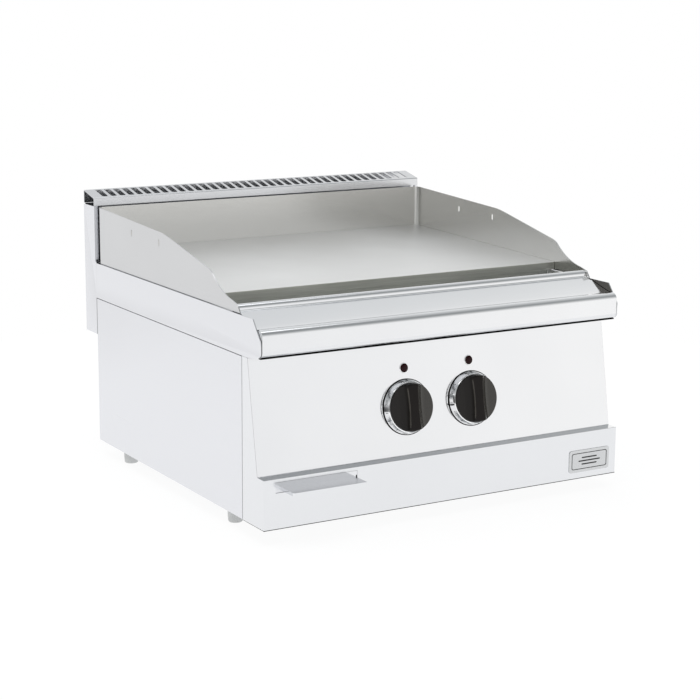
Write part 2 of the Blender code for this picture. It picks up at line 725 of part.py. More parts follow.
def pilot_lamp(name, side):
    """Domed lens through the panel and its holder behind."""
    axis = control_datum("lamp_%s_axis" % name, side * KNOB_X)
    dome = [(0.0063 * math.cos(a), 0.0008 + 0.0026 * math.sin(a))
            for a in [math.radians(d) for d in (90, 60, 30, 0)]]
    dome[0] = (0, dome[0][1])
    profile = dome + [(0.0063, GAP), (0.0055, GAP), (0.0055, -0.0120), (0, -0.0120)]
    lens = turned("lamp_lens_" + name, profile, "lens", 20)
    socket = [
        (0.0058, -SHEET - GAP), (0.0085, -SHEET - GAP), (0.0085, -0.0050),
        (0.0075, -0.0050), (0.0075, -0.0260), (0, -0.0260), (0, -0.0125),
        (0.0058, -0.0125),
    ]
    holder = turned("lamp_holder_" + name, socket, "white_ceramic", 20)
    for piece in (lens, holder):
        piece.location = (0, LAMP_UP, 0)
        piece.parent = axis


def badge():
    """Plain rounded plate on the fascia."""
    right, low = HALF - 0.013, 0.031
    width, height, round_r = 0.074, 0.034, 0.004
    corners = []
    spots = ((right - round_r, low + round_r, 270), (right - round_r, low + height - round_r, 0),
             (right - width + round_r, low + height - round_r, 90),
             (right - width + round_r, low + round_r, 180))
    for x, z, start in spots:
        corners += arc((x, z), round_r, start, start + 90, 4)
    front_profile("badge_plate", corners, y_at(-BADGE_PROUD), y_at(-GAP / 2), "chrome")


# ---- electrical pieces ----
def rear_fittings():
    """Cable gland with its nut, and the bonding stud, on the back panel."""
    out = datum("gland_axis", (GLAND_X, y_at(BODY_BACK_D), GLAND_Z), (-math.pi / 2, 0, 0))
    gland = [
        (0.0060, 0.0240), (0.0100, 0.0240), (0.0125, 0.0190), (0.0125, 0.0080),
        (0.0150, 0.0078), (0.0150, GAP), (0.0098, GAP), (0.0098, -0.0110),
        (0.0060, -0.0110),
    ]
    nut = [
        (0.0117, -SHEET - GAP), (0.0155, -SHEET - GAP), (0.0155, -SHEET - 0.0055),
        (0.0117, -SHEET - 0.0055),
    ]
    for piece in (turned("cable_gland", gland, "black_plastic", 24),
                  turned("gland_nut", nut, "black_plastic", 6)):
        piece.parent = out
    stud = [
        (0, 0.0160), (0.0040, 0.0160), (0.0040, 0.0070), (0.0075, 0.0070),
        (0.0075, GAP), (0.0040, GAP), (0.0040, -0.0080), (0, -0.0080),
    ]
    bond = turned("bonding_stud", stud, "brass", 18)
    bond.parent = datum("bond_axis", (BOND_X, y_at(BODY_BACK_D), GLAND_Z),
                        (-math.pi / 2, 0, 0))


def inner_electrics():
    """Mains terminal block and the overheat cut-out on the base pan."""
    floor = FOOT_H + SHEET + GAP
    step = 0.011
    low, high = floor + 0.016, floor + 0.024
    loop = [(0.165, floor), (0.165 + 6 * step, floor)]
    for i in range(5, -1, -1):
        left = 0.165 + i * step
        loop += [(left + step, low), (left + step - 0.002, high), (left + 0.002, high)]
    loop += [(0.165, low)]
    front_profile("terminal_block", loop, y_at(0.470), y_at(0.496), "white_ceramic")
    cut_out = box("overheat_cutout", (-0.020, y_at(0.150), floor),
                  (0.020, y_at(0.190), floor + 0.045), "white_ceramic")
    edge = cut_out.modifiers.new("edge", "BEVEL")
    edge.width = 0.003
    edge.segments = 2


# ---- assembly ----
def build():
    plate_frame = datum("plate_frame", (0, y_at(PLATE_FRONT_D), PLATE_FRONT_Z - PLATE_T),
                        (PLATE_SLOPE, 0, 0))
    base_pan()
    control_panel()
    body_panels()
    feet()
    worktop_front()
    duct_walls()
    flue_cap()
    splash_guard()
    griddle_plate(plate_frame)
    gutter()
    grease_tray()
    tray_rails()
    cross_rails()
    clamp_bars(plate_frame)
    insulation()
    for name, side in SIDES:
        end_plate(name, side)
        heating_element(name, side, plate_frame)
        knob_assembly(name, side)
        pilot_lamp(name, side)
        sensing_bulb("sensing_bulb_" + name, side * 0.066,
                     (side * KNOB_X, y_at(0.0670), 0.153), plate_frame)
    sensing_bulb("sensing_bulb_cutout", 0.0, (0.0, y_at(0.1903), 0.050), plate_frame)
    badge()
    rear_fittings()
    inner_electrics()


build()
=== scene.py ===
"""Looks of the electric counter-top griddle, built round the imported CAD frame.

Everything is in metres in the frame of the CAD model: +Z up, the cook stands
at -Y. Depths are distances behind the front face of the fascia.
"""
import json
import math

import bmesh
import bpy
from mathutils import Matrix, Vector


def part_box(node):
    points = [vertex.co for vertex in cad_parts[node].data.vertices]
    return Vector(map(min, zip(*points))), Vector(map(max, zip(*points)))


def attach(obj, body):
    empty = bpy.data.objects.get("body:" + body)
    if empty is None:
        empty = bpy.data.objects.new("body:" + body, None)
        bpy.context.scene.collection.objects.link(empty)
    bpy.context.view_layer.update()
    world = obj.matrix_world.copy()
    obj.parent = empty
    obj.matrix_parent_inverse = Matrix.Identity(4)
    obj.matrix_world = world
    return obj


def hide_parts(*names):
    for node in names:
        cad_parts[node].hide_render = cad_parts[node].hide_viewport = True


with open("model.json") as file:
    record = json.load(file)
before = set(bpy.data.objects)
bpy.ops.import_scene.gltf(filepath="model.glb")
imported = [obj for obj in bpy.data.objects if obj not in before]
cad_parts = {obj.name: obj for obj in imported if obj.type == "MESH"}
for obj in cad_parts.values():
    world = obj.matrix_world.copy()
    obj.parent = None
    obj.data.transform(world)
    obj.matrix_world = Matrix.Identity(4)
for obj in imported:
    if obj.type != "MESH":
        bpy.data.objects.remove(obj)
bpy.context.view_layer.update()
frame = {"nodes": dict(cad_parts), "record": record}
scene = bpy.context.scene

# ---- driving sizes, the same as in the CAD ----
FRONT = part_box("control_panel")[0].y
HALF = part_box("end_plate_right")[1].x
SHEET = 0.0015
GAP = 0.0003
SEAM = 0.0010            # visible joint line between two sheets
INNER = HALF - SHEET - GAP
FOOT_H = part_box("side_panel_left")[0].z
FASCIA_TOP = 0.092
LEDGE_D = 0.018
PANEL_TOP_D = 0.0453
BODY_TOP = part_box("side_panel_left")[1].z
SIDE_SEAM_D = 0.0607
BODY_BACK_D = 0.556
DEPTH = 0.600
WORKTOP_Z = 0.3075
FLANGE_W = 0.0115
DUCT_FRONT_D = 0.559
FOOT_X, FOOT_DEPTHS = 0.2795, (("front", 0.1225), ("rear", 0.480))
DUCT_BOTTOM = 0.194
DUCT_TOP = 0.3964
CAP_LIP_Z = 0.3967
CAP_FRONT_Z = 0.4094
CAP_BACK_Z = 0.4187
CAP_LIP_D = 0.5595
SLOT_COUNT, SLOT_PITCH = 38, 0.015
PANEL_TILT = math.atan2(PANEL_TOP_D - LEDGE_D, BODY_TOP - FASCIA_TOP)
KNOB_X, KNOB_Z, LAMP_UP = 0.055, 0.159, 0.0553
TRAY_X, TRAY_HALF = -0.2129, 0.0574
TRAY_SLOT = (-0.2815, -0.1535)
TONGUE_TIP_D = -0.030
GUARD_X = 0.297
FLANGE_START_D, FLANGE_END_D, POST_FOOT_Z = 0.0935, 0.5530, 0.3125
NOSE_LOW, NOSE_HIGH = (0.0150, 0.2650), (0.0165, 0.2855)     # centres of the nose's bends
SIDES = (("left", -1), ("right", 1))
TO_BACK = Matrix.Rotation(-math.pi / 2, 4, "X")     # turns +Z to +Y


def y_at(depth):
    """World Y of a place this far behind the fascia."""
    return FRONT + depth


# ---- material helpers ----
def new_material(name):
    material = bpy.data.materials.new(name)
    material.use_nodes = True
    tree = material.node_tree
    return material, tree, tree.nodes["Principled BSDF"]


def noise(tree, stretch, detail=3.0, rough=0.5):
    """Noise in object space, in features per metre along each axis."""
    coords = tree.nodes.new("ShaderNodeTexCoord")
    mapping = tree.nodes.new("ShaderNodeMapping")
    mapping.inputs["Scale"].default_value = stretch
    texture = tree.nodes.new("ShaderNodeTexNoise")
    texture.inputs["Scale"].default_value = 1.0
    texture.inputs["Detail"].default_value = detail
    texture.inputs["Roughness"].default_value = rough
    tree.links.new(coords.outputs["Object"], mapping.inputs["Vector"])
    tree.links.new(mapping.outputs["Vector"], texture.inputs["Vector"])
    return texture.outputs["Fac"]


def feed(tree, socket, value):
    """Link a socket, or give it a number or a colour."""
    if isinstance(value, bpy.types.NodeSocket):
        tree.links.new(value, socket)
    else:
        socket.default_value = (*value, 1.0) if isinstance(value, tuple) else value


def remap(tree, value, low, high, to_low=0.0, to_high=1.0):
    node = tree.nodes.new("ShaderNodeMapRange")
    for key, part in (("Value", value), ("From Min", low), ("From Max", high),
                      ("To Min", to_low), ("To Max", to_high)):
        feed(tree, node.inputs[key], part)
    return node.outputs["Result"]


def calc(tree, operation, first, second):
    node = tree.nodes.new("ShaderNodeMath")
    node.operation = operation
    feed(tree, node.inputs[0], first)
    feed(tree, node.inputs[1], second)
    return node.outputs["Value"]


def blend(tree, factor, first, second, kind="RGBA", how="MIX"):
    """Mix two colours, or two values where the kind is FLOAT."""
    node = tree.nodes.new("ShaderNodeMix")
    node.data_type, node.blend_type = kind, how
    place, result = (6, 2) if kind == "RGBA" else (2, 0)
    for index, value in ((0, factor), (place, first), (place + 1, second)):
        feed(tree, node.inputs[index], value)
    return node.outputs[result]


def bump(tree, shader, height, strength, distance):
    node = tree.nodes.new("ShaderNodeBump")
    node.inputs["Strength"].default_value = strength
    node.inputs["Distance"].default_value = distance
    tree.links.new(height, node.inputs["Height"])
    tree.links.new(node.outputs["Normal"], shader.inputs["Normal"])


def edge_mask(tree, low=0.53, high=0.62):
    """High along convex edges."""
    geometry = tree.nodes.new("ShaderNodeNewGeometry")
    return remap(tree, geometry.outputs["Pointiness"], low, high)


def shade(colour, factor):
    return tuple(min(1.0, channel * factor) for channel in colour)


def normal_part(tree, kind, axis):
    """One part of the surface normal, which is Normal or True Normal."""
    geometry = tree.nodes.new("ShaderNodeNewGeometry")
    split = tree.nodes.new("ShaderNodeSeparateXYZ")
    tree.links.new(geometry.outputs[kind], split.inputs["Vector"])
    return split.outputs[axis]


def sideways(tree):
    """1 on faces that look along X, 0 on the others."""
    across = calc(tree, "ABSOLUTE", normal_part(tree, "True Normal", "X"), 0.0)
    return remap(tree, across, 0.65, 0.75)


def steel(name, colour, roughness, grain, cloud, lines_depth, bump_strength, metallic=1.0,
          edge=1.06):
    """Brushed metal: grain lines, cloudy handling marks, edges in their own tone."""
    material, tree, shader = new_material(name)
    along, across = grain
    facing = sideways(tree)
    lines = blend(tree, facing, noise(tree, (along, across, across), 4.0, 0.6),
                  noise(tree, (across, along, across), 4.0, 0.6), "FLOAT")
    smears = blend(tree, facing, noise(tree, (2.0, 30.0, 30.0), 2.0),
                   noise(tree, (30.0, 2.0, 30.0), 2.0), "FLOAT")
    marks = noise(tree, (7.0,) * 3)
    tone = blend(tree, remap(tree, marks, 0.3, 0.7), shade(colour, 1 - cloud),
                 shade(colour, 1 + cloud * 0.5))
    tone = blend(tree, remap(tree, lines, 0.35, 0.65, 0.0, lines_depth), tone,
                 shade(colour, 0.85))
    tone = blend(tree, edge_mask(tree), tone, shade(colour, edge))
    tree.links.new(tone, shader.inputs["Base Color"])
    shader.inputs["Metallic"].default_value = metallic
    spread = calc(tree, "ADD", remap(tree, lines, 0.3, 0.7, -0.02, 0.025),
                  remap(tree, smears, 0.35, 0.65, -0.012, 0.015))
    tree.links.new(calc(tree, "ADD", spread, roughness), shader.inputs["Roughness"])
    bump(tree, shader, lines, bump_strength, 0.0002)
    return material


def plate_metal():
    """Ground and seasoned plate: fine cross grinding, darker mill edges."""
    colour = (0.82, 0.826, 0.825)
    material, tree, shader = new_material("ground_plate")
    lines = noise(tree, (8.0, 700.0, 700.0), 4.0, 0.6)
    cross = noise(tree, (500.0, 6.0, 500.0), rough=0.6)
    marks = noise(tree, (5.0,) * 3)
    top = blend(tree, remap(tree, marks, 0.3, 0.7), shade(colour, 0.94), shade(colour, 1.03))
    facing_up = remap(tree, normal_part(tree, "Normal", "Z"), 0.55, 0.85)
    edge = blend(tree, remap(tree, lines, 0.3, 0.7), (0.500, 0.505, 0.455),
                 (0.61, 0.615, 0.560))
    tree.links.new(blend(tree, facing_up, edge, top), shader.inputs["Base Color"])
    shader.inputs["Metallic"].default_value = 1.0
    spread = calc(tree, "ADD", remap(tree, lines, 0.3, 0.7, -0.04, 0.04),
                  remap(tree, marks, 0.3, 0.7, -0.03, 0.03))
    tree.links.new(calc(tree, "ADD", spread, 0.38), shader.inputs["Roughness"])
    bump(tree, shader, calc(tree, "ADD", lines, cross), 0.02, 0.0002)
    return material


def galvanised_metal():
    """Zinc spangle: large dull crystals with slightly different tones."""
    material, tree, shader = new_material("zinc_spangle")
    coords = tree.nodes.new("ShaderNodeTexCoord")
    cells = tree.nodes.new("ShaderNodeTexVoronoi")
    cells.inputs["Scale"].default_value = 140.0
    tree.links.new(coords.outputs["Object"], cells.inputs["Vector"])
    split = tree.nodes.new("ShaderNodeSeparateColor")
    tree.links.new(cells.outputs["Color"], split.inputs["Color"])
    tone = split.outputs["Red"]
    tree.links.new(blend(tree, tone, (0.40, 0.42, 0.43), (0.58, 0.60, 0.61)),
                   shader.inputs["Base Color"])
    shader.inputs["Metallic"].default_value = 1.0
    tree.links.new(remap(tree, tone, 0.0, 1.0, 0.36, 0.56), shader.inputs["Roughness"])
    bump(tree, shader, noise(tree, (60.0,) * 3), 0.06, 0.0004)
    return material


def moulded(name, colour, roughness, grain=1400.0, bump_strength=0.06, spread=0.06,
            cloud=0.10, shine=0.5):
    """Moulded or fired surface with fine grain and a little dust."""
    material, tree, shader = new_material(name)
    fine = noise(tree, (grain,) * 3)
    marks = noise(tree, (40.0,) * 3)
    tone = blend(tree, remap(tree, marks, 0.3, 0.7), shade(colour, 1 - cloud),
                 shade(colour, 1 + cloud))
    tone = blend(tree, edge_mask(tree, 0.54, 0.66), tone, shade(colour, 1.35))
    tree.links.new(tone, shader.inputs["Base Color"])
    shader.inputs["Specular IOR Level"].default_value = shine
    rough = calc(tree, "ADD", remap(tree, fine, 0.3, 0.7, -spread / 2, spread / 2),
                 remap(tree, marks, 0.3, 0.7, roughness - spread / 2, roughness + spread / 2))
    tree.links.new(rough, shader.inputs["Roughness"])
    bump(tree, shader, fine, bump_strength, 0.0002)
    return material


def wool_material():
    material, tree, shader = new_material("mineral_wool")
    fibres = noise(tree, (60.0, 900.0, 900.0), 5.0, 0.7)
    tufts = noise(tree, (90.0,) * 3, 4.0)
    tree.links.new(blend(tree, fibres, (0.55, 0.50, 0.38), (0.86, 0.82, 0.70)),
                   shader.inputs["Base Color"])
    tree.links.new(remap(tree, fibres, 0.0, 1.0, 0.85, 1.0), shader.inputs["Roughness"])
    bump(tree, shader, calc(tree, "ADD", fibres, tufts), 0.8, 0.002)
    return material


BODY_STEEL = (0.80, 0.81, 0.83)
SIDE_STEEL = (0.740, 0.747, 0.775)
CAP_STEEL = (0.700, 0.708, 0.728)
GUARD_STEEL = (0.645, 0.65, 0.66)
# Warmer copy of the guard steel for its inner faces: painted shade.
GUARD_INSIDE_SHADE = (0.655, 0.650, 0.630)
SHEET_GRAIN = (4.0, 2600.0)
LOOK = {
    "front": steel("satin_steel", BODY_STEEL, 0.13, SHEET_GRAIN, 0.015, 0.03, 0.003, edge=1.0),
    "side": steel("satin_steel_side", SIDE_STEEL, 0.24, SHEET_GRAIN, 0.02, 0.04, 0.004),
    "cap": steel("pressed_steel", CAP_STEEL, 0.20, SHEET_GRAIN, 0.02, 0.05, 0.004, edge=1.0),
    "guard": steel("guard_steel", GUARD_STEEL, 0.24, SHEET_GRAIN, 0.02, 0.05, 0.004, edge=1.0),
    "guard_inside_shade": steel("guard_steel_inside_shaded", GUARD_INSIDE_SHADE, 0.22, SHEET_GRAIN, 0.03, 0.05, 0.004,
                    edge=1.0),
    # Dark copy of the steel for the end plates' inner faces: painted shade.
    "inner_shade": steel("painted_shade_steel", (0.115, 0.108, 0.098), 0.20, SHEET_GRAIN, 0.08, 0.10,
                       0.004, edge=1.0),
    "plate": plate_metal(),
    "galvanised": galvanised_metal(),
    "chrome": steel("bright_chrome", (0.96, 0.96, 0.96), 0.06, (400.0, 400.0), 0.01, 0.0, 0.003),
    "badge": steel("badge_alloy", (0.65, 0.66, 0.67), 0.26, (40.0, 2500.0), 0.04, 0.2, 0.03),
    "knob": moulded("knob_black", (0.0200, 0.0175, 0.0130), 0.20, shine=0.60),
    "knob_shaded_side": moulded("knob_black_shaded_side", (0.0085, 0.0070, 0.0060), 0.30, shine=0.24),
    "knob_edge_highlight": moulded("knob_black_edge_highlight", (0.052, 0.046, 0.038), 0.30),
    "knob_matt_shaded": moulded("knob_black_matt_shaded", (0.0080, 0.0058, 0.0050), 0.42, shine=0.16),
    # Near-black for strips and rings put where only shade falls: painted shadow.
    "shadow": moulded("painted_shadow_black", (0.004, 0.004, 0.004), 0.85, shine=0.10),
    "black": moulded("fitting_black", (0.020, 0.020, 0.021), 0.42),
    "ink": moulded("dial_ink", (0.012, 0.012, 0.013), 0.50, 2500.0),
    "grey": moulded("foot_grey", (0.60, 0.61, 0.61), 0.50),
    "ceramic": moulded("steatite", (0.80, 0.77, 0.70), 0.62, 700.0, 0.10, cloud=0.05),
    "lens": moulded("lamp_red", (0.020, 0.002, 0.003), 0.16, 900.0, 0.02, 0.04, shine=0.16),
    "wool": wool_material(),
    "sheath": steel("oxidised_sheath", (0.16, 0.16, 0.15), 0.55, (300.0, 300.0), 0.15, 0.3,
                    0.15, 0.8),
    "copper": steel("drawn_copper", (0.72, 0.42, 0.28), 0.34, (60.0, 900.0), 0.08, 0.2, 0.05),
    "brass": steel("turned_brass", (0.78, 0.62, 0.30), 0.30, (600.0, 900.0), 0.06, 0.2, 0.05),
}
SLOT_LOOK = {
    "satin_steel": "front", "plate_steel": "plate", "galvanised": "galvanised",
    "chrome": "chrome", "black_plastic": "black", "grey_plastic": "grey",
    "white_ceramic": "ceramic", "lens": "lens", "wool": "wool",
    "element_sheath": "sheath", "copper": "copper", "brass": "brass",
}

for part in frame["record"]["subparts"]:
    for place in frame["nodes"][part["node"]].material_slots:
        place.material = LOOK[SLOT_LOOK[part["material_slot"]]]


# ---- modelling helpers ----
TURNED, THREADED, PRESSED = 0.6, math.radians(40), math.radians(35)     # angles of sharp edges


def piece(name, mesh_maker, look, body="housing", stands_for=(),
          sharp=None):
    """An object from a bmesh, riding on its CAD body; sharp is an angle in radians."""
    mesh = bpy.data.meshes.new(name)
    mesh_maker.to_mesh(mesh)
    mesh_maker.free()
    mesh.shade_smooth()
    if sharp:
        mesh.set_sharp_from_angle(angle=sharp)
    obj = bpy.data.objects.new(name, mesh)
    scene.collection.objects.link(obj)
    mesh.materials.append(LOOK[look])
    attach(obj, body)
    if stands_for:
        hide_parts(*stands_for)
    return obj


def repaint(obj, look, wanted):
    """Give the faces that wanted() picks a second material."""
    obj.data.materials.append(LOOK[look])
    slot_index = len(obj.data.materials) - 1
    for face in obj.data.polygons:
        if wanted(face):
            face.material_index = slot_index


def seam_strip(name, low, high):
    """Black strip lying in a joint between two sheets: a painted shadow line."""
    piece(name, block(low, high), "shadow")


def soften(obj, width, segments=3, angle=35):
    """Round the sharp edges and keep the flats flat."""
    rounding = obj.modifiers.new("rounding", "BEVEL")
    rounding.width = width
    rounding.segments = segments
    rounding.limit_method = "ANGLE"
    rounding.angle_limit = math.radians(angle)
    normals = obj.modifiers.new("normals", "WEIGHTED_NORMAL")
    normals.keep_sharp = True
    return obj


def settle(obj):
    """Turn the modifiers so far into plain mesh."""
    graph = bpy.context.evaluated_depsgraph_get()
    mesh = bpy.data.meshes.new_from_object(obj.evaluated_get(graph))
    obj.modifiers.clear()
    obj.data = mesh
    return obj


def combine(obj, mesh_maker, operation):
    """Join a closed shape to a piece, or take it out of it."""
    mesh = bpy.data.meshes.new("tool")
    bmesh.ops.recalc_face_normals(mesh_maker, faces=mesh_maker.faces)
    mesh_maker.to_mesh(mesh)
    mesh_maker.free()
    tool = bpy.data.objects.new("tool", mesh)
    scene.collection.objects.link(tool)
    modifier = obj.modifiers.new("combine", "BOOLEAN")
    modifier.operation = operation
    modifier.solver = "EXACT"
    modifier.object = tool
    settle(obj)
    bpy.data.objects.remove(tool, do_unlink=True)
    bpy.data.meshes.remove(mesh)


def cut(obj, mesh_maker):
    combine(obj, mesh_maker, "DIFFERENCE")


def join(obj, mesh_maker):
    combine(obj, mesh_maker, "UNION")


def arc(centre, radius, start, end, steps):
    """Points on an arc, angles in degrees."""
    points = []
    for i in range(steps + 1):
        angle = math.radians(start + (end - start) * i / steps)
        points.append((centre[0] + radius * math.cos(angle),
                       centre[1] + radius * math.sin(angle)))
    return points


def fillet(points, radius, closed=False, steps=6):
    """Round every corner of a polyline; radius may be a list, 0 for none."""
    count = len(points)
    radii = radius if isinstance(radius, (list, tuple)) else [radius] * count
    out = []
    for i, here in enumerate(points):
        if radii[i] == 0 or (not closed and i in (0, count - 1)):
            out.append(tuple(here))
            continue
        corner = Vector(here)
        u = Vector(points[i - 1]) - corner
        v = Vector(points[(i + 1) % count]) - corner
        half = u.angle(v) / 2
        reach = min(radii[i] / math.tan(half), 0.49 * u.length, 0.49 * v.length)
        size = reach * math.tan(half)
        start, end = corner + u.normalized() * reach, corner + v.normalized() * reach
        middle = corner + (u.normalized() + v.normalized()).normalized() * (size / math.sin(half))
        first = math.atan2(start.y - middle.y, start.x - middle.x)
        turn = math.atan2(end.y - middle.y, end.x - middle.x) - first
        turn = (turn + math.pi) % (2 * math.pi) - math.pi
        for step in range(steps + 1):
            angle = first + turn * step / steps
            out.append((middle.x + size * math.cos(angle), middle.y + size * math.sin(angle)))
    return out


def strip(path, thickness):
    """Close a bent line into a sheet outline; the sheet lies to its right."""
    inner = []
    for i, point in enumerate(path):
        here = Vector(point)
        normals = []
        if i:
            run = (here - Vector(path[i - 1])).normalized()
            normals.append(Vector((run.y, -run.x)))
        if i + 1 < len(path):
            run = (Vector(path[i + 1]) - here).normalized()
            normals.append(Vector((run.y, -run.x)))
        mean = sum(normals, Vector((0, 0))).normalized()
        inner.append(tuple(here + mean * (thickness / mean.dot(normals[0]))))
    return list(path) + inner[::-1]


PLACES = {
    "X": lambda u, v, w: (w, u, v),     # outline in Y and Z, drawn along X
    "Y": lambda u, v, w: (u, w, v),     # outline in X and Z, drawn along Y
    "Z": lambda u, v, w: (u, v, w),     # outline in X and Y, drawn along Z
}


def circle(bm, radius, height, segments):
    """A ring of points round Z."""
    turns = [2 * math.pi * i / segments for i in range(segments)]
    return [bm.verts.new((radius * math.cos(a), radius * math.sin(a), height)) for a in turns]


def bridge(bm, rings):
    """Faces between rings that have the same number of points."""
    for first, second in zip(rings, rings[1:]):
        for i in range(len(first)):
            j = (i + 1) % len(first)
            bm.faces.new((first[i], first[j], second[j], second[i]))


def prism(loop, axis, low, high):
    """A closed outline drawn out along an axis."""
    place = PLACES[axis]
    bm = bmesh.new()
    rings = [[bm.verts.new(place(u, v, w)) for u, v in loop] for w in (low, high)]
    bm.faces.new(rings[0])
    bm.faces.new(rings[1])
    bridge(bm, rings)
    bmesh.ops.recalc_face_normals(bm, faces=bm.faces)
    return bm


def block(low, high):
    """A cuboid between two corners."""
    loop = [(low[0], low[1]), (high[0], low[1]), (high[0], high[1]), (low[0], high[1])]
    return prism(loop, "Z", low[2], high[2])


def rounded_rectangle(u_low, u_high, v_low, v_high, radius, steps=6):
    corners = [(u_low, v_low), (u_high, v_low), (u_high, v_high), (u_low, v_high)]
    return fillet(corners, radius, closed=True, steps=steps)


def lathe(profile, segments=96):
    """Turn a (radius, height) line round Z; ends on the axis are closed."""
    bm = bmesh.new()
    rings = []
    for radius, height in profile:
        if radius < 1e-7:
            rings.append([bm.verts.new((0, 0, height))])
            continue
        rings.append(circle(bm, radius, height, segments))
    for upper, lower in zip(rings, rings[1:]):
        for i in range(segments):
            j = (i + 1) % segments
            corners = []
            for vert in (upper[i % len(upper)], lower[i % len(lower)],
                         lower[j % len(lower)], upper[j % len(upper)]):
                if vert not in corners:
                    corners.append(vert)
            if len(corners) > 2:
                bm.faces.new(corners)
    bmesh.ops.recalc_face_normals(bm, faces=bm.faces)
    return bm


def rod(radius, low, high):
    """A solid cylinder on Z."""
    return lathe([(0, high), (radius, high), (radius, low), (0, low)], 40)


def joined(*makers):
    """Several meshes as one."""
    mesh = bpy.data.meshes.new("joined")
    bm = bmesh.new()
    for maker in makers:
        maker.to_mesh(mesh)
        bm.from_mesh(mesh)
        maker.free()
    bpy.data.meshes.remove(mesh)
    return bm


def span(side, first, second):
    """Two distances from the middle as X limits, on the left or right side."""
    return sorted((side * first, side * second))


def moved(bm, matrix):
    bm.transform(matrix)
    return bm


def folded_shell(name, faces, fold_radius, look, stands_for):
    """Sheet metal from flat faces that share edges; folds are rounded."""
    bm = bmesh.new()
    for face in faces:
        bm.faces.new([bm.verts.new(corner) for corner in face])
    bmesh.ops.remove_doubles(bm, verts=bm.verts, dist=0.00001)
    folds = [e for e in bm.edges
             if len(e.link_faces) == 2 and e.calc_face_angle() > math.radians(5)]
    bmesh.ops.bevel(bm, geom=folds, offset=fold_radius, segments=5, profile=0.5,
                    affect="EDGES", clamp_overlap=True)
    obj = piece(name, bm, look, stands_for=stands_for)
    skin = obj.modifiers.new("sheet", "SOLIDIFY")
    skin.thickness = SHEET
    skin.offset = -1.0
    skin.use_even_offset = True
    return settle(obj)


# ---- body ----
def control_panel():
    outline = [(0, FOOT_H), (0, FASCIA_TOP), (LEDGE_D, FASCIA_TOP), (PANEL_TOP_D, BODY_TOP)]
    faces = []
    for (d0, z0), (d1, z1) in zip(outline, outline[1:]):
        faces.append([(-HALF, y_at(d0), z0), (HALF, y_at(d0), z0),
                      (HALF, y_at(d1), z1), (-HALF, y_at(d1), z1)])
    side = [(y_at(d), z) for d, z in outline]
    side += [(y_at(SIDE_SEAM_D), BODY_TOP), (y_at(SIDE_SEAM_D), FOOT_H)]
    faces.append([(-HALF, y, z) for y, z in side])
    faces.append([(HALF, y, z) for y, z in reversed(side)])
    panel = folded_shell("fascia_panel_folded", faces, 0.0007, "front", ["control_panel"])
    cut(panel, block((TRAY_SLOT[0], y_at(-0.01), 0.0720),
                     (TRAY_SLOT[1], y_at(0.010), 0.0870)))
    for x in (-KNOB_X, KNOB_X):
        for up, radius in ((0.0, 0.0055), (LAMP_UP, 0.006)):
            place = control_frame(x) @ Matrix.Translation((0, up, 0))
            cut(panel, moved(rod(radius, -0.012, 0.012), place))
    soften(panel, 0.0004, 2, 50)
    # Black strips in the side joints and under the fascia's bottom edge: painted shadow lines.
    joints = {
        "return_shadow_line": ((0.0010, FOOT_H - 0.0010), (SIDE_SEAM_D, FOOT_H), 0.0006),
        "front_seam": ((SIDE_SEAM_D, FOOT_H + 0.0005), (SIDE_SEAM_D + SEAM, BODY_TOP), 0.0),
        "rear_seam": ((BODY_BACK_D - 0.0004, DUCT_BOTTOM), (BODY_BACK_D + 0.0006, BODY_TOP),
                      -0.00008),
        "skirt_seam": ((0.047, BODY_TOP + GAP - SEAM - 0.0004),
                       (BODY_BACK_D, BODY_TOP + GAP + 0.0004), 0.0006),
    }
    seam_strip("fascia_shadow_line", (-HALF, y_at(0), FOOT_H - 0.0010), (HALF, y_at(0.0010), FOOT_H))
    for name, side in SIDES:
        for joint, (low, high, recess) in joints.items():
            xs = span(side, HALF - recess, HALF - SHEET - 0.0006)
            seam_strip("%s_%s" % (joint, name), (xs[0], y_at(low[0]), low[1]),
                       (xs[1], y_at(high[0]), high[1]))


def control_frame(x):
    """Place on the panel face at a knob centre, +Z out of the panel."""
    y = y_at(LEDGE_D) + (KNOB_Z - FASCIA_TOP) * math.tan(PANEL_TILT)
    turn = Matrix.Rotation(math.pi / 2 - PANEL_TILT, 4, "X")
    return Matrix.Translation((x, y, KNOB_Z)) @ turn


def side_panels():
    for name, side in SIDES:
        xs = span(side, HALF - SHEET, HALF)
        low = (xs[0], y_at(SIDE_SEAM_D + SEAM), FOOT_H)
        high = (xs[1], y_at(BODY_BACK_D), BODY_TOP + GAP - SEAM)
        soften(piece("side_sheet_" + name, block(low, high), "side",
                     stands_for=["side_panel_" + name]), 0.0006, 3)


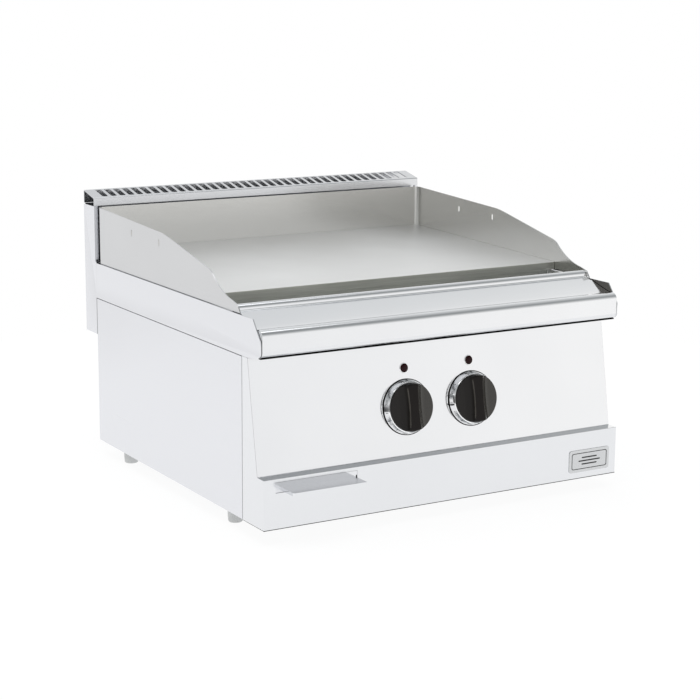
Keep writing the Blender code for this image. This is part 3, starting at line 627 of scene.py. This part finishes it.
def end_plates():
    loop = [(0.0450, BODY_TOP + GAP), (0.0143, 0.2568)]
    loop += arc((0.0157, 0.2650), 0.0080, 232, 180, 8)
    loop += [(0.0077, 0.2804), (0.0198, 0.2954), (0.0293, WORKTOP_Z), (FLANGE_START_D, WORKTOP_Z),
             (FLANGE_END_D, WORKTOP_Z)]
    loop += arc((0.5540, POST_FOOT_Z), 0.0050, 270, 360, 8)
    loop += [(DUCT_FRONT_D, DUCT_TOP), (DEPTH, DUCT_TOP), (DEPTH, DUCT_BOTTOM),
             (BODY_BACK_D + GAP, DUCT_BOTTOM), (BODY_BACK_D + GAP, BODY_TOP + GAP)]
    for name, side in SIDES:
        x, inner = side * HALF, side * (HALF - FLANGE_W)
        duct = side * (HALF - 0.006)
        skirt = [(x, y_at(d), z) for d, z in loop]
        start, end, front = y_at(FLANGE_START_D), y_at(FLANGE_END_D), y_at(DUCT_FRONT_D)
        fold = [(x, start, WORKTOP_Z), (x, end, WORKTOP_Z), (inner, end, WORKTOP_Z),
                (inner, start, WORKTOP_Z)]
        post = [(x, front, POST_FOOT_Z), (x, front, DUCT_TOP), (duct, front, DUCT_TOP),
                (duct, front, POST_FOOT_Z)]
        faces = [skirt, fold[::-1], post[::-1]]
        if side > 0:
            faces = [face[::-1] for face in faces]
        plate = folded_shell("end_sheet_" + name, faces, 0.0014, "side",
                             ["end_plate_" + name])
        settle(soften(plate, 0.0005, 3, 50))
        # The skirts' inner faces take the dark steel copy: painted shade.
        repaint(plate, "inner_shade", lambda face, side=side: face.normal.x * side < -0.5
                and abs(face.center.x) > HALF - 0.004)


def worktop():
    path = fillet([(0.042, 0.2620), (0.042, 0.2560), (0.0135, 0.2568)], 0.0018)
    path += arc(NOSE_LOW, 0.0080, 250, 180, 14)
    path += arc(NOSE_HIGH, 0.0095, 180, 95, 18)
    path += [(0.0178, 0.2951), (0.0192, 0.2949), (0.0206, 0.2944), (0.0222, 0.2941),
             (0.0240, 0.29425), (0.0300, 0.2953), (0.0360, 0.2968), (0.0430, 0.2986),
             (0.0500, 0.3005), (0.0570, 0.3026), (0.0640, 0.3048), (0.0705, 0.3069),
             (0.0765, 0.3090), (0.0783, 0.3098), (0.0791, 0.3108)]
    path += arc((0.0858, 0.3118), 0.0067, 175, 0, 22)
    path += [(0.0925, 0.2990)]
    path = [(y_at(d), z) for d, z in path]
    half = HALF - SHEET - SEAM
    top = piece("worktop_folded", prism(strip(path, SHEET), "X", -half, half), "front",
                stands_for=["worktop_front"])
    for side in (-1, 1):
        xs = span(side, GUARD_X - SHEET - GAP, HALF + 0.002)
        cut(top, block((xs[0], y_at(0.068), WORKTOP_Z - 0.004),
                       (xs[1], y_at(0.110), 0.329)))
    soften(top, 0.0005, 3, 40)
    end = [(0.0420, 0.2570), (0.0150, 0.2575)] + arc(NOSE_LOW, 0.0076, 250, 180, 10)
    end += arc(NOSE_HIGH, 0.0091, 180, 95, 12) + [(0.0240, 0.2938), (0.0420, 0.2978)]
    for name, side in SIDES:
        xs = span(side, half - 0.0002, half - 0.0014)
        piece("nose_end_" + name, prism([(y_at(d), z) for d, z in end], "X", *xs), "front")
    # Black strip under the nose: painted shadow line.
    line = [(0.0118, 0.2566), (0.0118, 0.2554), (0.0180, 0.2554), (0.0180, 0.2566)]
    piece("nose_shadow_line", prism([(y_at(d), z) for d, z in line], "X", -half, half), "shadow")


def duct():
    low, high = (-INNER, y_at(DEPTH - SHEET), DUCT_BOTTOM), (INNER, y_at(DEPTH), CAP_LIP_Z + 0.001)
    soften(piece("duct_sheet_back", block(low, high), "front",
                 stands_for=["duct_back_wall"]), 0.0004)
    wall_d = CAP_LIP_D + SHEET + GAP
    path = fillet([(y_at(BODY_BACK_D - SHEET), WORKTOP_Z), (y_at(wall_d), WORKTOP_Z),
                   (y_at(wall_d), CAP_LIP_Z + 0.007)], 0.0008)
    half = HALF - 0.006 - GAP
    soften(piece("duct_sheet_front", prism(strip(path, SHEET), "X", -half, half), "front",
                 stands_for=["duct_front_wall"]), 0.0003, 2, 50)


def flue_cap():
    path = fillet([(y_at(CAP_LIP_D), CAP_LIP_Z), (y_at(CAP_LIP_D), CAP_FRONT_Z),
                   (y_at(DEPTH), CAP_BACK_Z), (y_at(DEPTH), CAP_LIP_Z + 0.0013)], 0.0020)
    cap = piece("flue_cap_pressed", prism(strip(path, SHEET), "X", -HALF, HALF), "cap",
                body="cap_body", stands_for=["flue_cap"])
    slots = []
    y_low, y_high = y_at(CAP_LIP_D + 0.0055), y_at(DEPTH - 0.0038)
    for i in range(SLOT_COUNT):
        x = (i - (SLOT_COUNT - 1) / 2) * SLOT_PITCH
        outline = rounded_rectangle(x - 0.005, x + 0.005, y_low, y_high, 0.0030, 5)
        slots.append(prism(outline, "Z", 0.404, 0.424))
    cut(cap, joined(*slots))
    soften(cap, 0.0004, 2, 50)


# ---- cooking surface ----
def guard_top(depth):
    """Height of the guard's top edge at a depth."""
    line = [(0.0715, 0.3085), (0.0790, 0.3186)]
    line += arc((0.0790, 0.4335), 0.1122, -82, -48, 24)
    line += [(0.1572, 0.3523), (0.1600, 0.3536), (0.1630, 0.3547), (0.1660, 0.3556),
             (0.2901, 0.3809), (0.2970, 0.38225), (0.3030, 0.38332), (0.3090, 0.38430),
             (0.3150, 0.3851), (0.3250, 0.38570), (0.5528, 0.3960)]
    for (d0, z0), (d1, z1) in zip(line, line[1:]):
        if depth <= d1:
            return z0 + (z1 - z0) * (depth - d0) / (d1 - d0)
    return line[-1][1]


def splash_guard():
    back, bend, foot = 0.5528, 0.009, 0.3080
    depths = [0.0715 + 0.0025 * i for i in range(106)]
    depths += [0.345 + 0.02 * i for i in range(10)] + [back - bend]
    depths = sorted(set(round(d, 5) for d in depths if d <= back - bend))
    plan = [(-GUARD_X, d) for d in depths]
    plan += arc((-GUARD_X + bend, back - bend), bend, 180, 90, 14)[1:]
    plan += [(x * 0.04, back) for x in range(-7, 8)]
    plan += arc((GUARD_X - bend, back - bend), bend, 90, 0, 14)[:-1]
    plan += [(GUARD_X, d) for d in reversed(depths)]
    both = strip(plan, SHEET)
    outer, inner = both[:len(plan)], both[len(plan):][::-1]
    bm = bmesh.new()
    columns = []
    for (x, d), (xi, di) in zip(outer, inner):
        top = guard_top(d)
        corners = ((x, d, foot), (x, d, top), (xi, di, top), (xi, di, foot))
        columns.append([bm.verts.new((cx, y_at(cd), cz)) for cx, cd, cz in corners])
    bridge(bm, columns)
    bm.faces.new(columns[0])
    bm.faces.new(columns[-1])
    bmesh.ops.recalc_face_normals(bm, faces=bm.faces)
    guard = piece("splash_guard_folded", bm, "guard", stands_for=["splash_guard"])
    for depth, z in ((0.3283, 0.3698), (0.4247, 0.3716)):
        hole = rounded_rectangle(y_at(depth) - 0.0018, y_at(depth) + 0.0018,
                                 z - 0.005, z + 0.005, 0.00178, 6)
        cut(guard, prism(hole, "X", -HALF, HALF))
    settle(soften(guard, 0.0004, 2, 50))
    centre = Vector((0, y_at(0.30)))
    # Faces looking in towards the plate take the warmer copy: painted shade.
    repaint(guard, "guard_inside_shade", lambda face: abs(face.normal.z) < 0.5
            and face.normal.xy.dot(centre - face.center.xy) > 0)


PLATE_RISE, PLATE_RUN = 0.009, 0.3927
PLATE_SLOPE = math.atan2(PLATE_RISE, PLATE_RUN)
PLATE_FRAME = (Matrix.Translation((0, y_at(0.1583), 0.309))
               @ Matrix.Rotation(PLATE_SLOPE, 4, "X"))


def griddle_plate():
    run = PLATE_RUN / math.cos(PLATE_SLOPE) + 0.0009
    half, corner = GUARD_X - SHEET - GAP, 0.009
    loop = [(-half, 0), (half, 0)]
    loop += arc((half - corner, run - corner), corner, 0, 90, 12)
    loop += arc((-half + corner, run - corner), corner, 90, 180, 12)
    plate = prism(loop, "Z", 0, 0.012)
    soften(piece("cooking_plate_ground", moved(plate, PLATE_FRAME), "plate",
                 stands_for=["griddle_plate"]), 0.0008, 3)


def gutter():
    low = (-HALF + FLANGE_W + GAP, y_at(0.0928), 0.284)
    high = (HALF - FLANGE_W - GAP, y_at(0.165), 0.3083)
    (x0, y0, z0), (x1, y1, z1) = low, high
    floor = [(x0, y0, z0), (x1, y0, z0), (x1, y1, z0), (x0, y1, z0)]
    walls = []
    for a, b in zip(floor, floor[1:] + floor[:1]):
        walls.append([a, b, (b[0], b[1], z1), (a[0], a[1], z1)])
    trough = folded_shell("grease_gutter_folded", [floor[::-1]] + walls, 0.0030, "front",
                          ["gutter_trough"])
    drain = moved(rod(0.0125, 0.279, 0.289), Matrix.Translation((TRAY_X, y_at(0.129), 0)))
    cut(trough, drain)
    settle(soften(trough, 0.0003, 2, 50))
    repaint(trough, "plate", lambda face: face.normal.y < -0.7 and face.center.y > y_at(0.13))


def grease_tray():
    low, high, back = 0.0735, 0.0855, y_at(0.390)
    front, tip, inner = y_at(0.0002), y_at(TONGUE_TIP_D), TRAY_HALF - SHEET
    tray = piece("grease_drawer_folded", block((TRAY_X - TRAY_HALF, front, low),
                                               (TRAY_X + TRAY_HALF, back, high)),
                 "front", body="tray_body", stands_for=["grease_tray"])
    cut(tray, block((TRAY_X - inner, front + SHEET, low + SHEET),
                    (TRAY_X + inner, back - SHEET, high + 0.006)))
    corner = 0.0040
    outline = fillet([(TRAY_X - TRAY_HALF, tip), (TRAY_X + TRAY_HALF, tip),
                      (TRAY_X + TRAY_HALF, front + SHEET / 2),
                      (TRAY_X - TRAY_HALF, front + SHEET / 2)], [corner, 0.0020, 0, 0],
                     closed=True)
    join(tray, prism(outline, "Z", low, 0.0780))
    under = fillet([(TRAY_X - inner, tip + SHEET), (TRAY_X + inner, tip + SHEET),
                    (TRAY_X + inner, front), (TRAY_X - inner, front)],
                   [corner - SHEET, 0.0008, 0, 0], closed=True)
    cut(tray, prism(under, "Z", low - 0.002, 0.0765))
    join(tray, block((TRAY_SLOT[0] + 0.0002, front, 0.0806),
                     (TRAY_SLOT[1] - 0.0002, front + SHEET, 0.0866)))
    join(tray, block((TRAY_SLOT[0] + 0.0002, front + 0.0008, 0.0723),
                     (TRAY_X - TRAY_HALF + 0.0005, front + SHEET + 0.0008, 0.0812)))
    settle(soften(tray, 0.0006, 3, 40))
    # The tongue's top and the left lug's front take the darker side steel: painted shade.
    repaint(tray, "side", lambda face: (face.normal.z > 0.7 and face.center.y < front)
            or (face.normal.y < -0.7 and face.center.x < TRAY_X - TRAY_HALF))


# ---- controls ----
KNOB_TOP, SCOOP_FLOOR, SCOOP_REACH = 0.0212, 0.0140, 0.0140
SCOOP_RADIUS = (SCOOP_REACH ** 2 + (KNOB_TOP - SCOOP_FLOOR) ** 2) / (2 * (KNOB_TOP - SCOOP_FLOOR))


def half_bar(y):
    """Half width of the grip bar, a little wider at its ends."""
    return 0.0072 + 0.0016 * (y / 0.030) ** 2


def knob_height(x, y, profile_z):
    """Lower a point of the knob's front into the finger scoops."""
    off = min(0.0, abs(x) - half_bar(y) - SCOOP_REACH)
    scoop = SCOOP_FLOOR + SCOOP_RADIUS - math.sqrt(max(0.0, SCOOP_RADIUS ** 2 - off ** 2))
    blend = 0.0008
    mix = max(0.0, min(1.0, 0.5 + 0.5 * (scoop - profile_z) / blend))
    return scoop * (1 - mix) + profile_z * mix - blend * mix * (1 - mix)


def knob_mesh():
    """Skirted knob: a bar between two scoops, with soft edges."""
    profile = [(0.031 * i / 44, KNOB_TOP - 0.0004 * (i / 44) ** 2) for i in range(45)]
    profile += fillet([(0.0310, 0.0208), (0.0330, 0.0199), (0.0342, 0.0170), (0.0350, 0.0138),
                       (0.0350, 0.0122), (0.0340, 0.0117)], 0.0012, steps=5)[1:]
    segments = 180
    bm = bmesh.new()
    centre = bm.verts.new((0, 0, knob_height(0, 0, profile[0][1])))
    rings = []
    for radius, height in profile[1:]:
        ring = []
        for i in range(segments):
            angle = 2 * math.pi * i / segments
            x, y = radius * math.cos(angle), radius * math.sin(angle)
            low = knob_height(x, y, height) if height > 0.0150 else height
            ring.append(bm.verts.new((x, y, low)))
        rings.append(ring)
    for i in range(segments):
        bm.faces.new((centre, rings[0][i], rings[0][(i + 1) % segments]))
    for radius, height in ((0.0135, 0.0117), (0.0125, 0.0020), (0.0034, 0.0020),
                           (0.0034, 0.0148)):
        rings.append(circle(bm, radius, height, segments))
    bridge(bm, rings)
    bm.faces.new(rings[-1])
    bmesh.ops.recalc_face_normals(bm, faces=bm.faces)
    return bm


def paint_knob(obj, to_local):
    """Left half darker and duller as painted shade, a matt bar darkened with painted shade, and
    painted highlights along the bar's edges.
    """
    spots = [to_local @ face.center for face in obj.data.polygons]
    top = KNOB_TOP - 0.0008

    # A face right beside an edge of the bar, where the highlight is painted.
    def rubbed(spot):
        return spot.z > top - 0.0012 and abs(abs(spot.x) - half_bar(spot.y) - 0.0004) < 0.0007

    # Left half of the knob darker and duller: painted shade.
    repaint(obj, "knob_shaded_side", lambda face: spots[face.index].x < 0)
    # Top of the grip bar matt, and darker as painted shade.
    repaint(obj, "knob_matt_shaded", lambda face: spots[face.index].z > top
            and abs(spots[face.index].x) < half_bar(spots[face.index].y))
    # Lighter lines along both edges of the bar: painted highlight.
    repaint(obj, "knob_edge_highlight", lambda face: rubbed(spots[face.index])
            and spots[face.index].xy.length < 0.029)


def text_outline(words, size):
    """Digits as flat mesh, centred, reading along +X."""
    curve = bpy.data.curves.new("digits", "FONT")
    curve.body = words
    curve.size = size
    curve.align_x = "CENTER"
    curve.align_y = "CENTER"
    curve.resolution_u = 4
    holder = bpy.data.objects.new("digits", curve)
    scene.collection.objects.link(holder)
    graph = bpy.context.evaluated_depsgraph_get()
    mesh = bpy.data.meshes.new_from_object(holder.evaluated_get(graph))
    bpy.data.objects.remove(holder, do_unlink=True)
    bpy.data.curves.remove(curve)
    bm = bmesh.new()
    bm.from_mesh(mesh)
    bpy.data.meshes.remove(mesh)
    return bm


CONE_LOW, CONE_HIGH = Vector((0.0390, 0.0020)), Vector((0.0361, 0.0100))
INK_DEPTH = 0.00008


def onto_cone(bm, clock):
    """Wrap a flat mark onto the bezel's cone at a clock angle in degrees."""
    middle = (CONE_LOW + CONE_HIGH) / 2
    down = (CONE_LOW - CONE_HIGH).normalized()
    outward = Vector((-down.y, down.x))
    for vert in bm.verts:
        spot = middle + down * vert.co.y + outward * (0.00006 + vert.co.z)
        angle = math.radians(90 - clock) - vert.co.x / middle.x
        vert.co = Vector((spot.x * math.cos(angle), spot.x * math.sin(angle), spot.y))
    return bm


def tick(length, width):
    return block((-width / 2, -length / 2, 0), (width / 2, length / 2, INK_DEPTH))


def dial_marks(name, place):
    """Zero pointer, temperature digits and ticks round the bezel."""
    marks = []
    pointer = prism([(-0.0019, 0.0034), (0.0019, 0.0034), (0, -0.0028)], "Z", 0, INK_DEPTH)
    marks.append(onto_cone(pointer, 0))
    steps = ((50, 60), (100, 105), (150, 150), (200, 195), (250, 240), (300, 285))
    for value, clock in steps:
        marks.append(onto_cone(text_outline(str(value), 0.0056), clock))
        marks.append(onto_cone(tick(0.0040, 0.0007), clock - 22.5))
    marks.append(onto_cone(tick(0.0040, 0.0007), 307.5))
    if name == "right":
        marks.append(onto_cone(tick(0.0070, 0.0022), 262))
    piece("dial_marks_" + name, moved(joined(*marks), place), "ink")


def controls():
    ring = [(0.0330, GAP), (0.0330, 0.0102)]
    ring += fillet([(0.0330, 0.0102), (0.0336, 0.0110), (0.0352, 0.0110), (0.0361, 0.0100),
                    (0.0390, 0.0020), (0.0391, 0.0012), (0.0391, GAP)], 0.0006, steps=5)[1:]
    knob = knob_mesh()
    dome = [(0.0063 * math.sin(math.radians(a)), 0.0008 + 0.0026 * math.cos(math.radians(a)))
            for a in range(0, 91, 6)]
    lens_line = dome + [(0.0063, GAP), (0.0055, GAP), (0.0055, -0.0120), (0, -0.0120)]
    collar = fillet([(0.0064, 0.00005), (0.0064, 0.0009), (0.0072, 0.0008), (0.0074, 0.00005)],
                    0.0002, steps=3)
    # Black ring round the bezel's foot: painted shadow outline.
    shadow_ring = [(0.0380, 0.0001), (0.0380, 0.0012), (0.0398, 0.0012), (0.0401, 0.0008),
              (0.0401, 0.0001), (0.0380, 0.0001)]
    for name, side in SIDES:
        place = control_frame(side * KNOB_X)
        piece("bezel_turned_" + name, moved(lathe(ring + [ring[0]], 128), place), "chrome",
              stands_for=["knob_bezel_" + name], sharp=TURNED)
        cap = piece("knob_moulded_" + name, moved(knob.copy(), place), "knob",
                    body="knob_%s_body" % name,
                    stands_for=["knob_" + name])
        paint_knob(cap, place.inverted())
        piece("bezel_shadow_ring_" + name, moved(lathe(shadow_ring, 96), place), "shadow",
              sharp=TURNED)
        dial_marks(name, place)
        lamp = place @ Matrix.Translation((0, LAMP_UP, 0))
        piece("lamp_dome_" + name, moved(lathe(lens_line, 64), lamp), "lens",
              stands_for=["lamp_lens_" + name], sharp=TURNED)
        piece("lamp_collar_" + name, moved(lathe(collar, 64), lamp), "chrome")
    knob.free()


def badge():
    """Plain name plate: a dark line frame round three bars."""
    right, low, width, height = HALF - 0.013, 0.031, 0.074, 0.034
    left, high = right - width, low + height
    y0, y1 = y_at(-0.0010), y_at(-GAP / 2)
    plate = prism(rounded_rectangle(left, right, low, high, 0.004, 8), "Y", y0, y1)
    soften(piece("badge_plain", plate, "badge", stands_for=["badge_plate"]),
           0.0003, 3)
    loops = []
    for inset, radius in ((0.0045, 0.003), (0.0056, 0.0025)):
        loops.append(rounded_rectangle(left + inset, right - inset, low + inset, high - inset,
                                       radius, 8))
    y_face, y_foot = y0 - 0.00012, y0 + 0.0001
    bm = bmesh.new()
    corners = ((loops[0], y_foot), (loops[0], y_face), (loops[1], y_face), (loops[1], y_foot))
    rings = [[bm.verts.new((u, y, v)) for u, v in loop] for loop, y in corners]
    bridge(bm, rings + rings[:1])
    bmesh.ops.recalc_face_normals(bm, faces=bm.faces)
    piece("badge_frame_line", bm, "ink")
    bars = []
    for i in range(3):
        z = (low + high) / 2 + (i - 1) * 0.0050
        half = 0.0200 - abs(i - 1) * 0.0060
        loop = rounded_rectangle((left + right) / 2 - half, (left + right) / 2 + half,
                                 z - 0.0010, z + 0.0010, 0.0009, 5)
        bars.append(prism(loop, "Y", y_face, y_foot))
    piece("badge_bars", joined(*bars), "ink")


# ---- feet ----
def thread_line(tip, start, turns):
    """Outline of an M8 thread from its chamfered tip down."""
    line = [(0, tip), (0.0033, tip), (0.0040, tip - 0.0007)]
    for i in range(turns):
        z = start - i * 0.001
        line += [(0.0040, z), (0.0036, z - 0.0005)]
    return line


def feet():
    line = fillet([(0, FOOT_H - GAP), (0.0125, FOOT_H - GAP), (0.0125, FOOT_H - 0.0040),
                   (0.0112, FOOT_H - 0.0048), (0.0110, 0.0090), (0.0104, 0.0015),
                   (0.0094, 0), (0, 0)], [0, 0.0008, 0.0006, 0.0006, 0, 0.0006, 0.0006, 0],
                  steps=4)
    stud = thread_line(0.040, 0.0388, 17) + [(0.0040, FOOT_H - GAP), (0, FOOT_H - GAP)]
    for depth_name, depth in FOOT_DEPTHS:
        for name, side in SIDES:
            both = "%s_%s" % (depth_name, name)
            place = Matrix.Translation((side * FOOT_X, y_at(depth), 0))
            shape = joined(lathe(line, 64), lathe(stud, 32))
            piece("foot_moulded_" + both, moved(shape, place), "grey",
                  body="foot_%s_body" % both,
                  stands_for=["foot_" + both], sharp=THREADED)


# ---- back ----
def screw_mesh():
    """Pan head with a cross recess, its seat at z = 0."""
    radius = 0.0038
    head = [(radius * math.sin(math.radians(a)), 0.0022 * math.cos(math.radians(a)))
            for a in range(0, 81, 8)] + [(radius, 0.0002), (radius * 0.97, 0), (0, 0)]
    obj = piece("screw_draft", lathe(head, 40), "chrome")
    for turn in (0, math.pi / 2):
        slot = block((-0.0019, -0.0004, 0.0009), (0.0019, 0.0004, 0.004))
        cut(obj, moved(slot, Matrix.Rotation(turn + 0.4, 4, "Z")))
    mesh = obj.data
    bpy.data.objects.remove(obj, do_unlink=True)
    return mesh


def screws():
    mesh = screw_mesh()
    spots = [(x, y_at(BODY_BACK_D), z) for x in (-0.284, 0.284) for z in (0.045, 0.115, 0.180)]
    spots += [(x, y_at(BODY_BACK_D), 0.036) for x in (-0.14, 0.0, 0.14)]
    spots += [(x, y_at(DEPTH), z) for x in (-0.286, 0.286) for z in (0.215, 0.300, 0.380)]
    for i, spot in enumerate(spots):
        bm = bmesh.new()
        bm.from_mesh(mesh)
        turn = Matrix.Rotation(0.7 * i, 4, "Z")
        place = Matrix.Translation(spot) @ TO_BACK @ turn
        piece("back_screw_%02d" % (i + 1), moved(bm, place), "chrome",
              sharp=PRESSED)
    bpy.data.meshes.remove(mesh)


GLAND_X, BOND_X, FITTING_Z = 0.200, 0.245, 0.070


def back_place(x):
    """Place of a fitting on the rear panel, +Z out of it."""
    return Matrix.Translation((x, y_at(BODY_BACK_D), FITTING_Z)) @ TO_BACK


def rear_panel():
    top = WORKTOP_Z - SHEET - GAP
    low = (-INNER, y_at(BODY_BACK_D - SHEET), FOOT_H)
    panel = piece("rear_sheet", block(low, (INNER, y_at(BODY_BACK_D), top)), "galvanised",
                  stands_for=["rear_panel"])
    for middle in (-0.180, 0.0, 0.180):
        window = rounded_rectangle(middle - 0.070, middle + 0.070, 0.262, 0.290, 0.004)
        cut(panel, prism(window, "Y", y_at(BODY_BACK_D - 0.01), y_at(BODY_BACK_D + 0.01)))
    for x, radius in ((GLAND_X, 0.0103), (BOND_X, 0.0044)):
        cut(panel, moved(rod(radius, -0.01, 0.01), back_place(x)))
    soften(panel, 0.0003, 2, 50)


def hexagon(radius, low, high, bore):
    """Hex nut with a bore, standing on Z."""
    bm = bmesh.new()
    rings = []
    for z in (low, high):
        ring = []
        for i in range(36):
            corner, t = math.radians(60 * (i // 6)), (i % 6) / 6
            after = corner + math.radians(60)
            x = radius * (math.cos(corner) * (1 - t) + math.cos(after) * t)
            y = radius * (math.sin(corner) * (1 - t) + math.sin(after) * t)
            ring.append(bm.verts.new((x, y, z)))
        rings.append(ring)
    rings += [circle(bm, bore, z, 36) for z in (high, low)]
    bridge(bm, rings + rings[:1])
    bmesh.ops.recalc_face_normals(bm, faces=bm.faces)
    return bm


def rear_fittings():
    place = back_place(GLAND_X)
    dome = [(0.0060, 0.0240), (0.0078, 0.0240)]
    dome += arc((0.0075, 0.0190), 0.0050, 80, 0, 8)
    dome += [(0.0125, 0.0090), (0.0120, 0.0082), (0.0110, 0.0080), (0.0110, 0.0070)]
    dome += [(0.0098, 0.0070), (0.0098, -0.0110), (0.0060, -0.0110), (0.0060, 0.0240)]
    gland = joined(lathe(dome, 64), hexagon(0.0150, GAP, 0.0076, 0.0100))
    nut = hexagon(0.0155, -SHEET - 0.0055, -SHEET - GAP, 0.0117)
    for name, shape, node in (("gland_body_moulded", gland, "cable_gland"),
                              ("gland_nut_moulded", nut, "gland_nut")):
        soften(piece(name, moved(shape, place), "black",
                     stands_for=[node]), 0.0004, 2, 40)
    bond = back_place(BOND_X)
    thread = thread_line(0.0160, 0.0150, 22) + [(0.0036, -0.0078), (0, -0.0080)]
    washer = fillet([(0.0041, 0.0015), (0.0075, 0.0015), (0.0075, GAP), (0.0041, GAP)],
                    [0, 0.0004, 0.0004, 0])
    stud = joined(lathe(thread, 40), lathe(washer + [washer[0]], 48),
                  hexagon(0.0068, 0.0016, 0.0070, 0.0041))
    piece("bond_stud_turned", moved(stud, bond), "brass",
          stands_for=["bonding_stud"], sharp=THREADED)


# ---- stage ----
def floor():
    mesh = bpy.data.meshes.new("floor")
    bm = bmesh.new()
    bmesh.ops.create_circle(bm, cap_ends=True, segments=96, radius=1.2)
    bm.to_mesh(mesh)
    bm.free()
    obj = bpy.data.objects.new("floor", mesh)
    scene.collection.objects.link(obj)
    material, tree, shader = new_material("pale_floor")
    shader.inputs["Base Color"].default_value = (0.14, 0.14, 0.14, 1.0)
    shader.inputs["Roughness"].default_value = 0.9
    shader.inputs["Specular IOR Level"].default_value = 0.0
    shader.inputs["Emission Color"].default_value = (1.0, 1.0, 1.0, 1.0)
    shader.inputs["Emission Strength"].default_value = 0.90
    mesh.materials.append(material)


def studio():
    """White room, dimmer overhead, with soft dark flags beside the camera."""
    world = bpy.data.worlds.new("studio")
    scene.world = world
    world.use_nodes = True
    tree = world.node_tree
    coords = tree.nodes.new("ShaderNodeTexCoord")
    split = tree.nodes.new("ShaderNodeSeparateXYZ")
    tree.links.new(coords.outputs["Generated"], split.inputs["Vector"])
    x, y, z = (split.outputs[axis] for axis in "XYZ")
    white = (1.0, 1.0, 1.0)
    overhead = blend(tree, remap(tree, y, -0.4, 0.4), (0.32, 0.335, 0.34),
                     (0.76, 0.775, 0.785))
    colour = blend(tree, remap(tree, z, 0.12, 0.62), white, overhead)
    band = calc(tree, "MULTIPLY", remap(tree, z, -0.20, -0.13),
                remap(tree, z, 0.35, 0.55, 1.0, 0.0))
    side_light = blend(tree, remap(tree, x, 0.38, 0.64), (0.985,) * 3, (1.13, 1.12, 1.10))
    colour = blend(tree, 1.0, colour, side_light, how="MULTIPLY")
    for aim_x, aim_y, edge in ((-0.86, -0.51, 0.93), (0.98, 0.20, 0.88)):
        along = calc(tree, "ADD", calc(tree, "MULTIPLY", x, aim_x),
                     calc(tree, "MULTIPLY", y, aim_y))
        flag = calc(tree, "MULTIPLY", remap(tree, along, edge, edge + 0.05), band)
        colour = blend(tree, flag, colour, (0.06, 0.06, 0.06))
    path = tree.nodes.new("ShaderNodeLightPath")
    colour = blend(tree, path.outputs["Is Camera Ray"], colour, white)
    tree.links.new(colour, tree.nodes["Background"].inputs["Color"])
    tree.nodes["Background"].inputs["Strength"].default_value = 1.0
    scene.view_settings.view_transform = "Standard"
    scene.view_settings.look = "None"


def softbox(name, spot, aim, size, power):
    light = bpy.data.lights.new(name, "AREA")
    light.shape = "RECTANGLE"
    light.size, light.size_y = size
    light.energy = power
    obj = bpy.data.objects.new(name, light)
    obj.location = spot
    obj.rotation_euler = (Vector(aim) - Vector(spot)).to_track_quat("-Z", "Y").to_euler()
    scene.collection.objects.link(obj)


def camera():
    data = bpy.data.cameras.new("camera")
    data.lens = 94.206
    data.sensor_width = 36.0
    data.sensor_fit = "HORIZONTAL"
    data.clip_end = 100.0
    obj = bpy.data.objects.new("camera", data)
    yaw, pitch, roll = (math.radians(a) for a in (30.815, 11.962, 0.4147))
    obj.matrix_world = (Matrix.Translation((-1.41146, y_at(-2.08696), 0.77261))
                        @ Matrix.Rotation(-yaw, 4, "Z")
                        @ Matrix.Rotation(math.pi / 2 - pitch, 4, "X")
                        @ Matrix.Rotation(roll, 4, "Z"))
    scene.collection.objects.link(obj)
    scene.camera = obj


control_panel()
side_panels()
end_plates()
worktop()
duct()
flue_cap()
splash_guard()
griddle_plate()
gutter()
grease_tray()
controls()
badge()
feet()
rear_panel()
rear_fittings()
screws()
floor()
studio()
softbox("overhead", (-0.3, -0.2, 2.4), (0, 0, 0.3), (2.2, 2.2), 18.0)
camera()
